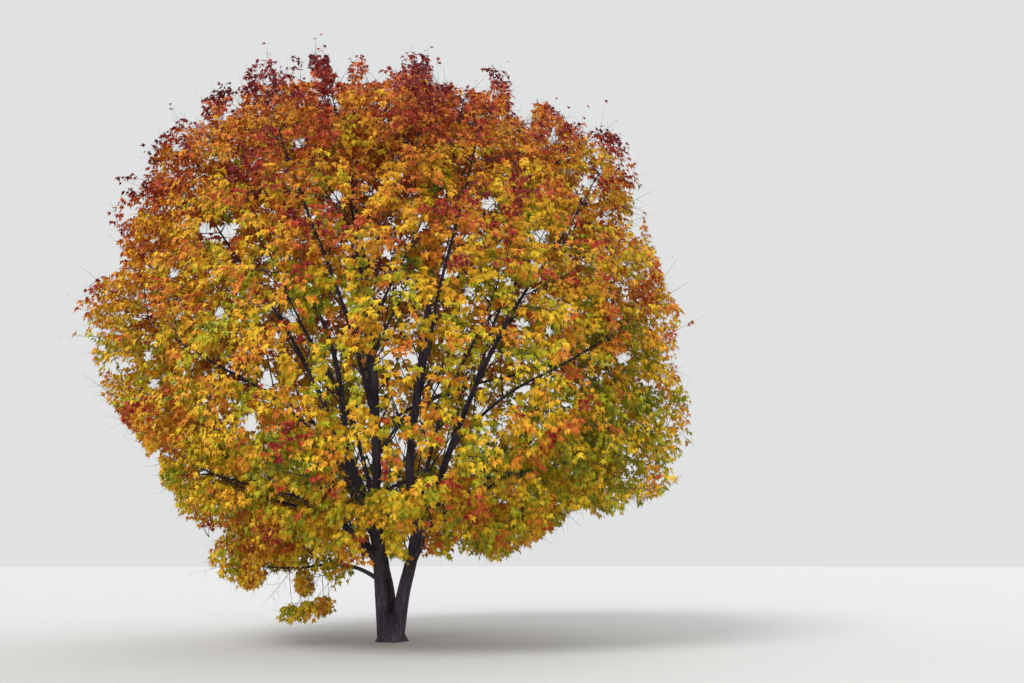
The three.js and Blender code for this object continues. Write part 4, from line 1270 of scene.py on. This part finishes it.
def bark_material():
    made = bpy.data.materials.new("maple_bark")
    made.use_nodes = True
    tree = made.node_tree
    shader = tree.nodes["Principled BSDF"]
    shader.inputs["Roughness"].default_value = BARK_ROUGHNESS
    place = add_node(tree, "ShaderNodeTexCoord").outputs["Object"]
    stretched = add_node(tree, "ShaderNodeMapping", Vector=place, Scale=(1, 1, GRAIN_STRETCH)).outputs["Vector"]
    grain = add_node(tree, "ShaderNodeTexNoise", Vector=stretched, Scale=1 / (GRAIN_MM * MM),
                     Detail=GRAIN_DETAIL)
    patches = add_node(tree, "ShaderNodeTexNoise", Vector=place, Scale=PATCHES_PER_M, Detail=PATCH_DETAIL)
    crack = add_node(tree, "ShaderNodeAttribute", {"attribute_name": "crack"})
    light = times_plus(tree, grain.outputs["Fac"], GRAIN_SHARE, patches.outputs["Fac"])
    # Painted shade: the colour darkens in the cracks, by the crack value on the mesh.
    shade = times_plus(tree, crack.outputs["Fac"], -CRACK_PAINTED_SHADE, light)
    ramp = add_node(tree, "ShaderNodeValToRGB", Fac=shade)
    for stop, position, colour in zip(ramp.color_ramp.elements, DARK_TO_LIGHT, (BARK_DARK_AND_CRACK_SHADE, BARK_RIDGE)):
        stop.position, stop.color = position, linear(colour)
    bump = add_node(tree, "ShaderNodeBump", Height=grain.outputs["Fac"], Strength=BUMP_STRENGTH,
                    Distance=BUMP_DEPTH)
    tree.links.new(ramp.outputs["Color"], shader.inputs["Base Color"])
    tree.links.new(bump.outputs["Normal"], shader.inputs["Normal"])
    return made


bark = bark_material()
twig_bark = plain_material("maple_twig_bark", BARK_TWIG, TWIG_ROUGHNESS)
print("bark materials:", bark.name, twig_bark.name)

# %% [markdown]
# ## Pieces in the frame
# Each finished piece rides on the CAD model's one body and stands for the nodes that it replaces. Leaves are
# parted by height and side, and twigs by height, so that no piece is too heavy to handle.

# %% Pieces
wood_nodes = {"bark_of_stems": ["trunk", *STEMS], "bark_of_boughs": [row[0] for row in LIMBS]}
for name, batch in (("bark_of_stems", stem_bark), ("bark_of_boughs", bough_bark)):
    made = batch.mesh(name, [bark], smooth=True)
    # The crack value goes on the mesh, where the bark material uses it to paint shade into the cracks.
    layer = made.data.attributes.new("crack", "FLOAT", "POINT")
    layer.data.foreach_set("value", np.concatenate(batch.cracks).astype(np.float32))
    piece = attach(made, "root")
    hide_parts(*wood_nodes[name])
for key, batch in twig_batches.items():
    heights = ("low", "mid") if key == "lower" else ("high", "top")
    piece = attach(batch.mesh(f"twigs_{key}", [twig_bark], smooth=True), "root")
    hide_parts(*[f"foliage_{n}" for n in names if n.startswith(heights)])
for key, batch in leaf_batches.items():
    group, _, side = key.partition("_")
    chosen = [n for n, c in zip(names, centres)
              if n.startswith(group) and (not side or (side == "front") == (c[1] < 0))]
    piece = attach(batch.mesh(f"leaves_{key}", leaf_materials), "root")
    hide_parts(*[f"foliage_{n}" for n in chosen])

# %% [markdown]
# ## Floor, light and camera
# The floor is a wide pale disc. The light is soft, as under a bright overcast sky: a pale surround and three
# wide soft lamps. The camera stands where the tree was seen from: 21 m away, at eye height, tilted up.

# %% Floor, light and camera
FLOOR_RADIUS, FLOOR_SIDES, FLOOR_COLOUR, FLOOR_ROUGHNESS = 260.0, 96, "cbcccb", 0.9
SURROUND_COLOUR, SURROUND_STRENGTH = "f0f1f1", 0.86
# Name, strength, softness, tilt and turn in degrees.
SUNS = [("key_light", 1.95, 25, 46, -34), ("fill_light", 0.6, 60, 55, 150),
        ("low_front_light", 2.0, 60, 90, -12)]
CAMERA_AT, CAMERA_TILT, CAMERA_SEES = (2.41, -21.0, 1.6), 12.4, 1000.0
FOCAL_PX, FRAME_PX, SENSOR = 996.0, 1024, 36.0

bpy.ops.mesh.primitive_circle_add(vertices=FLOOR_SIDES, radius=FLOOR_RADIUS, fill_type="NGON")
floor = bpy.context.object
floor.name = "floor"
floor.data.materials.append(plain_material("pale_floor", FLOOR_COLOUR, FLOOR_ROUGHNESS))

world = bpy.data.worlds.new("pale_surround")
world.use_nodes = True
world.node_tree.nodes["Background"].inputs["Color"].default_value = linear(SURROUND_COLOUR)
world.node_tree.nodes["Background"].inputs["Strength"].default_value = SURROUND_STRENGTH
bpy.context.scene.world = world

for name, strength, softness, tilt, turn in SUNS:
    lamp = bpy.data.lights.new(name, "SUN")
    lamp.energy, lamp.angle = strength, math.radians(softness)
    sun = bpy.data.objects.new(name, lamp)
    sun.rotation_euler = (math.radians(tilt), 0, math.radians(turn))
    bpy.context.scene.collection.objects.link(sun)

camera_data = bpy.data.cameras.new("camera")
camera_data.sensor_width = SENSOR
camera_data.lens = FOCAL_PX / FRAME_PX * SENSOR
camera_data.clip_end = CAMERA_SEES
camera = bpy.data.objects.new("camera", camera_data)
camera.location = CAMERA_AT
camera.rotation_euler = (math.radians(90 + CAMERA_TILT), 0, 0)
bpy.context.scene.collection.objects.link(camera)
bpy.context.scene.camera = camera
bpy.context.scene.view_settings.view_transform = "Standard"

print("lights:", len(SUNS), "lens", round(camera_data.lens, 2), "mm")
